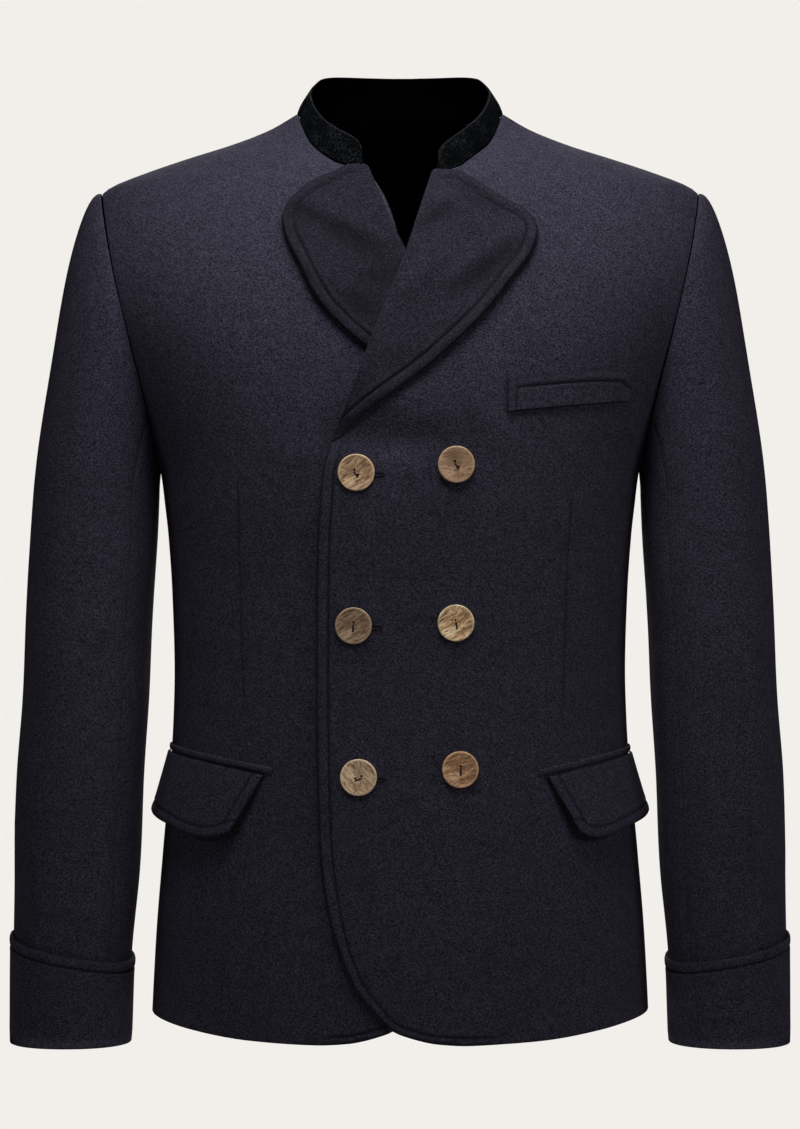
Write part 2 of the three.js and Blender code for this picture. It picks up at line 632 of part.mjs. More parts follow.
// Both sleeve pieces take their points from one round, so that their seams match.
function addSleeve(side, mirror) {
  const inset = 0.012; // half the seam gap, in steps of the round
  const span = (from, to) => Array.from({ length: to - from + 1 }, (_, i) => {
    const position = from + i + (i === 0 ? inset : 0) - (from + i === to ? inset : 0);
    return (position + ROUND_POINTS) % ROUND_POINTS;
  });
  const { from, to } = UNDERSLEEVE;
  for (const [name, positions] of [['under', span(from, to)], ['top', span(to - ROUND_POINTS, from)]]) {
    const outer = sleeveGrid(positions);
    addWall(`sleeve_${name}_${side}`, outer, sleeveInside(positions), WOOL, { mirror });
  }
}

// The inner face of a sleeve piece follows the normals of the whole round.
function sleeveInside(positions) {
  const step = 0.3;
  const before = sleeveGrid(positions.map((p) => (p - step + ROUND_POINTS) % ROUND_POINTS));
  const after = sleeveGrid(positions.map((p) => (p + step) % ROUND_POINTS));
  return sleeveGrid(positions).map((row, r, grid) => row.map((p, c) => {
    const down = grid[Math.min(grid.length - 1, r + 1)][c].clone().sub(grid[Math.max(0, r - 1)][c]);
    const across = after[r][c].clone().sub(before[r][c]);
    return p.clone().addScaledVector(down.cross(across).normalize(), SLEEVE_CLOTH);
  }));
}

function addCuff(side, mirror) {
  const grid = (grow) => Array.from({ length: CUFF.rows + 1 }, (_, r) =>
    Array.from({ length: ROUND_POINTS }, (_, c) => {
      const turn = (2 * Math.PI * c) / ROUND_POINTS;
      const slant = mix(CUFF.innerZ, CUFF.outerZ, (1 + Math.cos(turn)) / 2);
      const topZ = slant - CUFF.frontDrop * Math.sin(turn);
      return sleevePoint(turn, mix(topZ, CUFF.bottomZ, r / CUFF.rows), grow);
    }));
  addWall(`cuff_${side}`, grid(LAY_GAP + TRIM_CLOTH), grid(LAY_GAP), WOOL, { mirror, ring: true });
}

// ---------------------------------------------------------------- pockets

const radians = (degrees) => (degrees * Math.PI) / 180;

// A border between two pairs of angle and height that is straight as seen from in front.
function slanted(from, to) {
  const across = (angle) => bodyPoint(radians(angle), from[1]).x;
  const start = across(from[0]);
  const whole = across(to[0]) - start;
  return (share) => {
    const angle = mix(from[0], to[0], share);
    return [angle, mix(from[1], to[1], (across(angle) - start) / whole)];
  };
}

function addHipPocket({ side, front, topFront, topSide, corner, cornerZ }) {
  const mirror = side === 'right';
  const topLeft = [front, topFront];
  const topRight = [FLAP.sideAngle, topSide];
  const low = pathThrough([
    { angle: corner, z: cornerZ },
    { angle: (corner + FLAP.lowestAngle) / 2, z: FLAP.lowestZ + 1.2 },
    { angle: FLAP.lowestAngle, z: FLAP.lowestZ },
    { angle: (FLAP.lowestAngle + FLAP.sideAngle) / 2, z: (FLAP.lowestZ + FLAP.sideZ) / 2 + 1 },
    { angle: FLAP.sideAngle, z: FLAP.sideZ },
  ], 'angle', 'z');
  const flap = (height) => patch(
    slanted(topLeft, topRight), low, straight(topLeft, low(0)), straight(topRight, low(1)), 4, 10,
    (angle, z, s, t) => {
      const stand = mix(FLAP.frontStand, FLAP.sideStand, t ** 2) * s;
      return movedOut(bodyPoint(radians(angle), z), LAY_GAP + stand + height);
    });
  addWall(`flap_${side}`, flap(TRIM_CLOTH), flap(0), WOOL, { mirror });

  const raised = (z, by) => [z[0], z[1] + by];
  const jetStart = [front - JET.overhang, topFront];
  const jet = (height) => patch(
    slanted(raised(jetStart, JET.height + JET.clear), raised(topRight, JET.height + JET.clear)),
    slanted(raised(jetStart, JET.clear), raised(topRight, JET.clear)),
    straight(raised(jetStart, JET.height + JET.clear), raised(jetStart, JET.clear)),
    straight(raised(topRight, JET.height + JET.clear), raised(topRight, JET.clear)), 1, 8,
    (angle, z) => movedOut(bodyPoint(radians(angle), z), LAY_GAP + height));
  addWall(`pocket_jet_${side}`, jet(TRIM_CLOTH), jet(0), WOOL, { mirror });
}

function addChestWelt() {
  const topLeft = [WELT.left, WELT.leftTop];
  const topRight = [WELT.right, WELT.rightTop];
  const lowLeft = [WELT.left - 1, WELT.leftBottom];
  const lowRight = [WELT.right, WELT.rightBottom];
  const grid = (height) => patch(
    straight(topLeft, topRight), straight(lowLeft, lowRight),
    straight(topLeft, lowLeft), straight(topRight, lowRight), 2, 8,
    (x, z) => movedOut(frontPoint(x, z), leftLift(x, z) + LAY_GAP + height));
  addWall('chest_welt', grid(TRIM_CLOTH), grid(0), WOOL);
}

// ---------------------------------------------------------------- buttons

function buttonGeometry() {
  const disc = new THREE.Shape().absarc(0, 0, BUTTON.radius - BUTTON.bevel, 0, 2 * Math.PI);
  for (const side of [-1, 1]) {
    const round = new THREE.Path().absarc(
      (side * BUTTON.holeSpacing) / 2, 0, BUTTON.holeRadius + BUTTON.holeBevel, 0, 2 * Math.PI, true);
    disc.holes.push(new THREE.Path(round.getPoints(4).slice(0, -1)));
  }
  const depth = BUTTON.thick - 2 * BUTTON.bevel;
  const geometry = new THREE.ExtrudeGeometry(disc, {
    depth, bevelThickness: BUTTON.bevel, bevelSize: BUTTON.bevel, bevelSegments: 1, curveSegments: 10,
  });
  return geometry.translate(0, 0, BUTTON.bevel);
}

function addButton({ name, x, z, turn }) {
  const mesh = addPiece(name, buttonGeometry(), WOOD);
  const seat = frontPoint(x, z);
  const normal = outward(seat);
  const level = new THREE.Vector3(1, 0, 0).addScaledVector(normal, -normal.x).normalize();
  const up = new THREE.Vector3().crossVectors(normal, level);
  mesh.setRotationFromMatrix(new THREE.Matrix4().makeBasis(level, up, normal));
  mesh.rotateZ(radians(turn));
  const highUnderRim = Math.max(leftLift(x, z), leftLift(x, z + BUTTON.radius));
  const lift = mix(leftLift(x, z), highUnderRim, 0.6);
  mesh.position.copy(seat).addScaledVector(normal, lift + BUTTON.stand);
}

// ---------------------------------------------------------------- the jacket

addFront('front_left', LEFT, leftLift, false);
addFront('front_right', RIGHT, noLift, true);
addWall('back_left', backGrid(0), backGrid(CLOTH), WOOL);
addWall('back_right', backGrid(0), backGrid(CLOTH), WOOL, { mirror: true });
addLapel('lapel_left', LEFT_LAPEL, leftLift, false);
addLapel('lapel_right', RIGHT_LAPEL, noLift, true);
addCollar();
for (const [side, mirror] of [['left', false], ['right', true]]) {
  addSleeve(side, mirror);
  addCuff(side, mirror);
}
FLAPS.forEach(addHipPocket);
addChestWelt();
BUTTONS.forEach(addButton);

export default jacket;
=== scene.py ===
"""Dresses the frame of a double-breasted wool jacket with cloth, velvet, wooden buttons and a studio.

Tables are in millimetres, in the frame's own directions: +Z up, the front faces -Y, the wearer's left is +X.
Every mesh is written in metres, with its object at the origin.
"""
import logging
import math
from dataclasses import dataclass, field
from enum import Enum
from typing import Callable, Sequence

import bpy
import numpy as np
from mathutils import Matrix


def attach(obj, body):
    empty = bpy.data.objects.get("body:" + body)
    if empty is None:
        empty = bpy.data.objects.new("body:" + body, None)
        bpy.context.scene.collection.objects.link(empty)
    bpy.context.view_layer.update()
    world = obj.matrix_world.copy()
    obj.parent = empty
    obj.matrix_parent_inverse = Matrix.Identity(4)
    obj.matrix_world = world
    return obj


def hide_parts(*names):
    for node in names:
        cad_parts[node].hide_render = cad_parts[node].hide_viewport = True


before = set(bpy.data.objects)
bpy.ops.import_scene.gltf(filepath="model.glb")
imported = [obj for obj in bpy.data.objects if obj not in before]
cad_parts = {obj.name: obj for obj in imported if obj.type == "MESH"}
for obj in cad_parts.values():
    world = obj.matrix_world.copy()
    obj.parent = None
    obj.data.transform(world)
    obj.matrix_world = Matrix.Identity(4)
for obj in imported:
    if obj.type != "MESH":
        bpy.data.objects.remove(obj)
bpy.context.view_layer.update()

log = logging.getLogger("jacket")
Array = np.ndarray
Colour = tuple[float, float, float]
Material = bpy.types.Material
Piece = bpy.types.Object
Socket = bpy.types.NodeSocket

MM = 0.001
BODY = "root"

# thicknesses of the cloth
CLOTH = 2.2
LAPEL_CLOTH = 2.4
COLLAR_CLOTH = 3.0
SLEEVE_CLOTH = 2.0
TRIM_CLOTH = 1.9

# how far out cloth lies that rests on other cloth, and how the upper front rises over the lower one
LAY_GAP = 0.8
OVERLAP_LIFT = CLOTH + LAY_GAP
LAPEL_LIFT = LAPEL_CLOTH + LAY_GAP
TRIM_LIFT = LAY_GAP + TRIM_CLOTH
LIFT_MARGIN = 15.0
LIFT_BLEND = 38.0

# heights
NECK_Z = 2.5
SHOULDER_Z = -59.0
ARMPIT_Z = -272.0
HEM_Z = -684.0
HEM_BLEND_Z = -500.0
BREAK_Z = -249.0

# height, half width, depth to the front, depth to the back, squareness in front, squareness behind
SLICES = (
    (-700, 191, 129, 124, 2.3, 2.3), (-621, 187, 126, 119, 2.3, 2.3), (-564, 182.5, 122, 113, 2.3, 2.3),
    (-460, 174, 118, 101, 2.3, 2.3), (-425, 173, 118, 100, 2.3, 2.3),
    (-367, 174.5, 121, 103.5, 2.3, 2.3), (-321, 177.5, 126, 109.5, 2.3, 2.3),
    (-300, 179.8, 128, 113, 2.3, 2.3), (-272, 183.5, 129.5, 116.5, 2.3, 2.3),
    (-250, 190.5, 129.8, 118.5, 2.3, 2.3), (-224, 201, 129, 120.5, 2.3, 2.3),
    (-205, 210, 127.5, 121, 2.3, 2.3), (-171, 226.5, 123, 120, 2.3, 2.3),
    (-131, 239.5, 114, 115.5, 2.25, 2.3), (-110, 241, 107.5, 112, 2.15, 2.27),
    (-90, 239.5, 99.5, 107.5, 2.03, 2.21), (-75, 236.5, 92.5, 104, 1.92, 2.15),
    (-65, 233, 87, 101.5, 1.85, 2.11), (-59, 229, 83.3, 100, 1.8, 2.08),
    (-55, 224, 80.5, 99, 1.78, 2.05), (-44, 198, 70.5, 95.5, 1.72, 2.02), (-32, 164, 57, 90.5, 1.7, 2.0),
    (-21, 129, 43, 85, 1.7, 2.0), (-9, 99, 27, 79, 1.7, 2.0), (2.5, 79.5, 8, 73, 1.7, 2.0),
)
ARMHOLE = (
    (-272, 183.5), (-250, 187), (-224, 192), (-205, 196), (-171, 204.5), (-131, 214.5), (-83, 224.5),
    (-59, 229),
)
LEFT_NECK_END = ((-52.5, 26), (-50, 29), (-47, 41.3))
RIGHT_NECK_END = ((-47.6, 25.8), (-46, 29), (-44, 41.2))
NECKLINE = ((-38, 52.7), (-24, 67.5), (-12, 73.4), (2.5, 78))
LEFT_EDGE = (
    (-655, -33), (-626, -45.4), (-590, -54.2), (-553, -58.7), (-502, -60.4), (-443, -61.3), (-357, -60.9),
    (-324, -60.1), (-296, -58.2), (-275, -56.3), (-258, -51.5), (-233, -40.2), (-217, -33.6), (-173, -16.1),
    (-120, 5.2),
)
RIGHT_EDGE = (
    (-655, -23), (-626, -35.4), (-590, -44.2), (-553, -48.7), (-502, -50.4), (-264, -50.7), (-233, -41),
    (-172, -23.5), (-120, -5.2),
)
HEM = (
    (-33, -655), (-14.6, -677), (-5, -685.7), (3.7, -689.3), (29, -695.2), (51, -696.5), (100, -695),
    (150, -690), (189, -684),
)
RIGHT_HEM_SHIFT = -10.0
BACK_HEM_DROP = 6.0

LEFT_LAPEL = {
    "roll": (
        (26.3, -52.6), (16.5, -85), (5.2, -119.6), (-16.1, -172.7), (-33.6, -217), (-40.2, -233),
        (-49.8, -253.5),
    ),
    "top": ((26.3, -52.6), (42.6, -51.8), (51, -55.6), (75, -71.5), (92, -82), (98.6, -88.5)),
    "outer": (
        (98.6, -88.5), (101.3, -98), (98, -111), (81, -135.5), (59.4, -163), (40.3, -182), (17.6, -202),
        (-5.1, -218.5), (-24.1, -232.5), (-46.4, -252.5),
    ),
}
RIGHT_LAPEL = {
    "roll": ((26, -48), (12, -83), (-5.2, -119.6), (-23, -172), (-39, -228)),
    "top": ((26, -48), (37, -47), (51, -52.5), (62.7, -58.1), (80, -73.5), (84.5, -80)),
    "outer": (
        (84.5, -80), (87, -89), (85, -100), (74.5, -122.8), (60.3, -150), (40.4, -172), (22, -187.3),
        (0, -205), (-18, -217), (-35.5, -227.5),
    ),
}

# share of the neckline from the centre back to the front end, then the place of the collar's top edge
COLLAR_TOP = (
    (0, 0, 63, 39.5), (0.03, 5.8, 62.8, 39.5), (0.1, 19, 60.5, 39.4), (0.18, 34.5, 54.3, 39),
    (0.26, 48.5, 44.2, 38), (0.34, 59, 32.5, 35.5), (0.42, 65.5, 20, 30), (0.524, 69, 3, 20),
    (0.62, 66, -15, 8.5), (0.73, 58, -32.5, -4), (0.83, 47.3, -46, -13.6), (0.9, 38.5, -54, -20),
    (0.95, 32.8, -59, -24.5), (0.98, 29.8, -62, -28.5), (1, 28, -64.5, -34),
)

# height, outer side, inner side, half depth, middle of the depth
SLEEVE_SLICES = (
    (-706, 294.8, 207.6, 45, -25), (-645, 294.6, 204.6, 48, -22), (-575, 294.6, 199, 52.5, -18),
    (-506, 293, 196, 57, -13), (-448, 290, 193, 61, -9), (-402, 288, 191, 63, -7),
    (-367, 286.3, 189, 64.5, -5), (-321, 283.5, 186.3, 66, -3), (-290, 281, 185, 66, -2),
)
SLEEVE_SQUARE = 2.15
SLEEVE_START_Z = -290.0
SLEEVE_END_Z = -706.0

# start and end, each as x and height, then the fold's width and height
FRONT_FOLDS = (
    (74, -24, 116, -158, 15, 1.5), (97, -30, 152, -132, 12, -1.2), (-80, -26, -126, -118, 14, 1.0),
    (-104, -34, -168, -120, 15, -0.9), (152, -84, 187, -214, 11, -1.3), (128, -150, 174, -262, 13, 1.3),
    (-158, -92, -188, -206, 12, -1.2), (-118, -166, -172, -258, 15, 1.2),
    (168, -300, 104, -352, 10, -0.8), (160, -352, 98, -384, 9, 0.6), (-166, -318, -108, -362, 11, -0.8),
    (-160, -390, -112, -408, 9, 0.6), (66, -512, 84, -690, 15, 1.2), (18, -536, 27, -690, 17, -1.0),
    (128, -566, 140, -688, 13, -1.1), (-92, -556, -106, -690, 14, 1.1),
    (-138, -570, -149, -686, 12, -1.0), (-33, -418, -28, -468, 15, 0.5), (-24, -284, 34, -278, 9, -0.5),
    (-26, -392, 34, -394, 8, -0.45), (-22, -504, 36, -500, 9, -0.5), (58, -272, 112, -240, 10, -0.6),
    (-62, -250, 76, -254, 15, -5.0), (58, -386, 106, -364, 10, -0.5), (-66, -282, -104, -244, 10, 0.6),
)
BACK_FOLDS = (
    (30, -24, 58, -150, 16, 1.4), (-44, -30, -84, -138, 14, 1.2), (150, -92, 176, -232, 13, -1.6),
    (-154, -84, -180, -226, 12, -1.5), (112, -120, 166, -258, 15, 1.5),
    (-106, -140, -162, -262, 14, 1.4), (150, -330, 40, -366, 12, -1.2),
    (-146, -344, -52, -374, 11, -1.1), (138, -380, 58, -396, 9, 0.9), (-128, -396, -34, -412, 10, 0.8),
    (60, -470, 78, -690, 17, 1.5), (-72, -490, -90, -690, 15, 1.4), (118, -540, 130, -688, 13, -1.2),
    (-128, -556, -136, -688, 14, -1.2), (22, -560, 26, -690, 12, -0.9),
)


class Side(Enum):
    """The wearer's two sides, as the sign of X."""

    LEFT = 1
    RIGHT = -1

    @property
    def word(self) -> str:
        """The side's name in piece names."""
        return self.name.lower()


class Face(Enum):
    """Which half of the body a fold lies on."""

    FRONT = 1
    BACK = -1


# ---------------------------------------------------------------- curves and small geometry


def mix(a: Array | float, b: Array | float, t: Array | float) -> Array | float:
    """The value a share t of the way from a to b."""
    return a + (b - a) * t


def ease(t: Array | float) -> Array:
    """A smooth step from 0 to 1."""
    c = np.clip(t, 0.0, 1.0)
    return c * c * (3 - 2 * c)


def unit(vectors: Array) -> Array:
    """The same directions at length one."""
    return vectors / np.maximum(np.linalg.norm(vectors, axis=-1, keepdims=True), 1e-12)


def signed_power(value: Array, power: Array | float) -> Array:
    """A power of a number's size, with the number's sign."""
    return np.sign(value) * np.abs(value) ** power


def circle(count: int) -> Array:
    """Angles spread evenly round a circle."""
    return np.linspace(0, 2 * np.pi, count, endpoint=False)


def run_along(points: Array) -> Array:
    """How far along a path each of its points lies."""
    return np.concatenate([[0], np.cumsum(np.linalg.norm(np.diff(points, axis=0), axis=1))])


class Curve:
    """A smooth curve through a table that never swings past its values."""

    def __init__(self, xs: Sequence[float], ys: Sequence[float]) -> None:
        """Works out the slopes.

        Args:
            xs: places along the curve, rising.
            ys: the value at each place.
        """
        self.xs, self.ys = np.asarray(xs, float), np.asarray(ys, float)
        step = np.diff(self.xs)
        slope = np.diff(self.ys) / step
        tangents = np.empty_like(self.ys)
        tangents[0], tangents[-1] = slope[0], slope[-1]
        before, after = slope[:-1], slope[1:]
        first, second = 2 * step[1:] + step[:-1], step[1:] + 2 * step[:-1]
        with np.errstate(divide="ignore", invalid="ignore"):
            inner = (first + second) / (first / before + second / after)
        tangents[1:-1] = np.where(before * after > 0, inner, 0.0)
        self.tangents = tangents

    def __call__(self, x: Array | float) -> Array:
        """The curve's value at x, held at its ends.

        Args:
            x: the place or places.

        Returns:
            The values.
        """
        x = np.clip(x, self.xs[0], self.xs[-1])
        i = np.clip(np.searchsorted(self.xs, x, side="right") - 1, 0, len(self.xs) - 2)
        h = self.xs[i + 1] - self.xs[i]
        t = (x - self.xs[i]) / h
        start = (1 + 2 * t) * (1 - t) ** 2 * self.ys[i] + t * (1 - t) ** 2 * h * self.tangents[i]
        return start + t * t * (3 - 2 * t) * self.ys[i + 1] + t * t * (t - 1) * h * self.tangents[i + 1]


def curve_of(rows: Sequence[Sequence[float]], value: int = 1, key: int = 0) -> Curve:
    """A curve through one column of a table.

    Args:
        rows: the table, its key column rising.
        value: the column of values.
        key: the column of places.

    Returns:
        The curve.
    """
    return Curve([row[key] for row in rows], [row[value] for row in rows])


def path_of(rows: Sequence[Sequence[float]]) -> Callable[[Array], Array]:
    """A smooth path through a table of points.

    Args:
        rows: the points, each a row.

    Returns:
        A function from the share of the path's length to a point.
    """
    points = np.asarray(rows, float)
    along = run_along(points)
    curves = [Curve(along, points[:, k]) for k in range(points.shape[1])]
    return lambda share: np.stack([curve(np.asarray(share) * along[-1]) for curve in curves], axis=-1)


def line(start: Sequence[float], end: Sequence[float]) -> Callable[[Array], Array]:
    """A straight path between two points, by the share of its length."""
    a, b = np.asarray(start, float), np.asarray(end, float)
    return lambda share: a + np.asarray(share)[..., None] * (b - a)


def spot(path: Callable[[Array], Array], share: float) -> Array:
    """One point of a path."""
    return path(np.array([share]))[0]


def fine_path(path: Array, step: float = 0.8) -> Array:
    """The same path with points no more than a step apart.

    Args:
        path: the points.
        step: the longest distance.

    Returns:
        The new points.
    """
    run = run_along(path)
    places = np.arange(0, run[-1], step)
    return np.stack([np.interp(places, run, path[:, k]) for k in range(3)], 1)


def patch(top: Callable, bottom: Callable, start: Callable, end: Callable, s: Array, t: Array) -> Array:
    """A grid of pairs between four border paths.

    Args:
        top, bottom: the borders that t runs along.
        start, end: the borders that s runs along.
        s: shares from the top to the bottom, one a row.
        t: shares from the start to the end, one a column.

    Returns:
        The pairs, row by row.
    """
    across, down = t[None, :, None], s[:, None, None]
    sides = mix(start(s)[:, None], end(s)[:, None], across) + mix(top(t)[None], bottom(t)[None], down)
    corners = [spot(path, k) for path in (top, bottom) for k in (0.0, 1.0)]
    return sides - mix(mix(corners[0], corners[1], across), mix(corners[2], corners[3], across), down)


def nearest(places: Array, path: Array, chunk: int = 4000) -> tuple[Array, Array]:
    """The distance from each place to a path, and the number of the path's nearest point.

    Args:
        places: a list or a grid of points to measure from.
        path: the path's points, close together.
        chunk: how many places are worked out at once.

    Returns:
        The distances and the numbers, in the shape of the places.
    """
    points, shape = places.reshape(-1, 3), places.shape[:-1]
    distance, index = np.empty(len(points)), np.empty(len(points), int)
    for first in range(0, len(points), chunk):
        part = slice(first, first + chunk)
        square = ((points[part, None] - path[None]) ** 2).sum(-1)
        index[part] = square.argmin(1)
        distance[part] = np.sqrt(square.min(1))
    return distance.reshape(shape), index.reshape(shape)


def outward_normals(grid: Array, ring: bool = False) -> Array:
    """Unit normals of a grid of points, from its neighbours, turned away from its middle.

    Args:
        grid: the points, row by row.
        ring: whether the columns close on themselves.

    Returns:
        The normals.
    """
    across = (np.roll(grid, -1, 1) - np.roll(grid, 1, 1)) / 2 if ring else np.gradient(grid, axis=1)
    normals = unit(np.cross(across, np.gradient(grid, axis=0)))
    away = grid - grid.mean(axis=(0, 1), keepdims=True)
    return normals if np.sum(normals * away) > 0 else -normals


def hem_share(level: float) -> float:
    """How much a level row of the body follows the hem's curve."""
    return max(0.0, (HEM_BLEND_Z - level) / (HEM_BLEND_Z - HEM_Z)) ** 2


# ---------------------------------------------------------------- folds and edges of the cloth


@dataclass(frozen=True)
class Fold:
    """One soft crease in the cloth: a low ridge, or a valley where its height is negative.

    The start and end are a pair of numbers each, which the form that has the fold turns into places.
    """

    start: tuple[float, float]
    end: tuple[float, float]
    width: float
    height: float
    face: Face = Face.FRONT

    def relief(self, points: Array, a: Array, b: Array) -> Array:
        """How far the fold moves each point out.

        Args:
            points: the places of the cloth.
            a: the fold's start in space.
            b: its end.

        Returns:
            The distances.
        """
        run = b - a
        t = (points - a) @ run / (run @ run)
        away = np.linalg.norm(points - a - t[..., None] * run, axis=-1)
        along = np.clip(4 * t * (1 - t), 0, 1) ** 0.8
        return self.height * along * np.exp(-((away / self.width) ** 2))


def folds_of(rows: Sequence[Sequence[float]], face: Face = Face.FRONT) -> tuple[Fold, ...]:
    """Folds from a table of starts, ends, widths and heights."""
    return tuple(Fold(row[:2], row[2:4], *row[4:], face) for row in rows)


@dataclass(frozen=True)
class TurnedEdge:
    """A turned and topstitched edge: a padded band that ends in the groove of the stitches."""

    stitch: float = 8.6
    groove: float = 0.7
    groove_width: float = 0.9
    padding: float = 0.7
    swell: float = 0.35  # share of the padding that lies beyond the stitches
    swell_place: float = 2.6
    swell_width: float = 1.8
    edge_width: float = 0.9  # how far in from the edge the painted shade of its turn reaches
    # how dark the painted shade in the turn of the edge is
    edge_shade: float = 0.95

    def relief(self, distance: Array, stitch: Array | float | None = None) -> Array:
        """How far the cloth lies out at a distance from the edge.

        Args:
            distance: from the edge.
            stitch: the stitches' distance from the edge, if it isn't the same all along.

        Returns:
            The distances out.
        """
        seat = self.stitch if stitch is None else stitch
        band = np.clip(distance / seat, 0, 1)
        padded = self.padding * np.sin(np.pi * band) ** 0.7
        past = (distance - seat - self.swell_place) / self.swell_width
        beyond = self.swell * self.padding * np.exp(-(past**2))
        return padded + beyond - self.groove * self.line(distance, seat)

    def line(self, distance: Array, stitch: Array | float | None = None) -> Array:
        """How near to the row of stitches a place is, from 0 to 1."""
        seat = self.stitch if stitch is None else stitch
        return np.exp(-(((distance - seat) / self.groove_width) ** 2))

    def shade(self, distance: Array, stitch: Array | float | None = None) -> Array:
        """How much painted shade the cloth gets in the groove of its stitches and where it turns in at its
        edge, from 0 to 1.
        """
        turn = np.exp(-((distance / self.edge_width) ** 2))
        return np.maximum(self.line(distance, stitch), self.edge_shade * turn)


# ---------------------------------------------------------------- the forms that the cloth lies on


@dataclass
class TorsoForm:
    """The surface of the worn jacket's body, with the folds of its cloth."""

    folds: tuple[Fold, ...] = folds_of(FRONT_FOLDS) + folds_of(BACK_FOLDS, Face.BACK)
    hang: float = 0.45  # height of the broad, shallow waves of the cloth

    def __post_init__(self) -> None:
        """Makes the curves through the tables and gives the folds their places."""
        self.width, self.front, self.back, self.front_square, self.back_square = (
            curve_of(SLICES, k) for k in range(1, 6))
        self.armhole_x = curve_of(ARMHOLE)
        self.placed = [(fold, *self.fold_ends(fold)) for fold in self.folds]

    def fold_ends(self, fold: Fold) -> tuple[Array, Array]:
        """The fold's two ends in space."""
        return tuple(self.at_x(np.array(x), np.array(z), fold.face) for x, z in (fold.start, fold.end))

    def angle_at(self, x: Array | float, z: Array | float, square: Curve | None = None) -> Array:
        """Angle from the centre front of the place x on the slice at z."""
        power = (square or self.front_square)(z) / 2
        return np.sign(x) * np.arcsin(np.minimum(1, np.abs(x) / self.width(z)) ** power)

    def point(self, angle: Array | float, z: Array | float) -> Array:
        """The bare surface at an angle round the body and a height.

        Args:
            angle: the angle from the centre front.
            z: the height.

        Returns:
            The places.
        """
        behind = np.cos(angle) < 0
        power = 2 / np.where(behind, self.back_square(z), self.front_square(z))
        depth = np.where(behind, self.back(z), self.front(z))
        x = self.width(z) * signed_power(np.sin(angle), power)
        y = -depth * signed_power(np.cos(angle), power)
        return np.stack(np.broadcast_arrays(x, y, z), axis=-1).astype(float)

    def at_x(self, x: Array, z: Array, face: Face = Face.FRONT) -> Array:
        """The bare surface at a place x and a height, in front or behind.

        Args:
            x: the place across.
            z: the height.
            face: in front or behind.

        Returns:
            The places.
        """
        if face is Face.FRONT:
            return self.point(self.angle_at(x, z), z)
        return self.point(math.pi - self.angle_at(x, z, self.back_square), z)

    def _outside(self, p: Array) -> Array:
        """How far points are outside the surface, as a share of the slice's size.

        Args:
            p: the points.

        Returns:
            One on the surface, and more outside it.
        """
        behind = p[..., 1] > 0
        z = p[..., 2]
        square = np.where(behind, self.back_square(z), self.front_square(z))
        depth = np.where(behind, self.back(z), self.front(z))
        return (np.abs(p[..., 0]) / self.width(z)) ** square + (np.abs(p[..., 1]) / depth) ** square

    def normal(self, p: Array) -> Array:
        """The outward direction of the bare surface.

        Args:
            p: points on the surface.

        Returns:
            The directions, at length one.
        """
        step = 0.05
        slopes = [self._outside(p + o) - self._outside(p - o) for o in np.eye(3) * step]
        return unit(np.stack(slopes, axis=-1))

    def relief(self, p: Array) -> Array:
        """How far the folds and waves of the cloth move the bare surface out.

        Args:
            p: points on the bare surface.

        Returns:
            The distances.
        """
        total = sum(fold.relief(p, a, b) for fold, a, b in self.placed)
        x, y, z = p[..., 0], p[..., 1], p[..., 2]
        waves = np.sin(x / 31 + 0.7 + z / 210) * np.sin(z / 83 + 1.3)
        waves = waves + 0.6 * np.sin(x / 17 + y / 45 + z / 140 + 2.1)
        calm = ease((NECK_Z - z) / 60)
        return calm * (total + self.hang * waves)

    def cloth(self, angle: Array, z: Array, out: Array | float = 0.0) -> tuple[Array, Array]:
        """Where cloth lies that follows the body at a distance.

        Args:
            angle: round the body.
            z: the height.
            out: the distance from the bare surface, besides the folds.

        Returns:
            The places and the outward directions.
        """
        bare = self.point(angle, z)
        normal = self.normal(bare)
        return bare + normal * (out + self.relief(bare))[..., None], normal

    def cloth_x(
            self, x: Array, z: Array, out: Array | float = 0.0, side: Side = Side.LEFT,
    ) -> tuple[Array, Array]:
        """The same as cloth, for places x in front, which are mirrored for the wearer's right side."""
        return self.cloth(self.angle_at(x, z) * side.value, z, out)

    def outer_angle(self, z: float, square: Curve) -> float:
        """Angle of a panel's far end: the seams of the shoulder and side, or the armhole between them."""
        inside = ARMPIT_Z < z < SHOULDER_Z
        return float(self.angle_at(self.armhole_x(z), z, square)) if inside else math.pi / 2


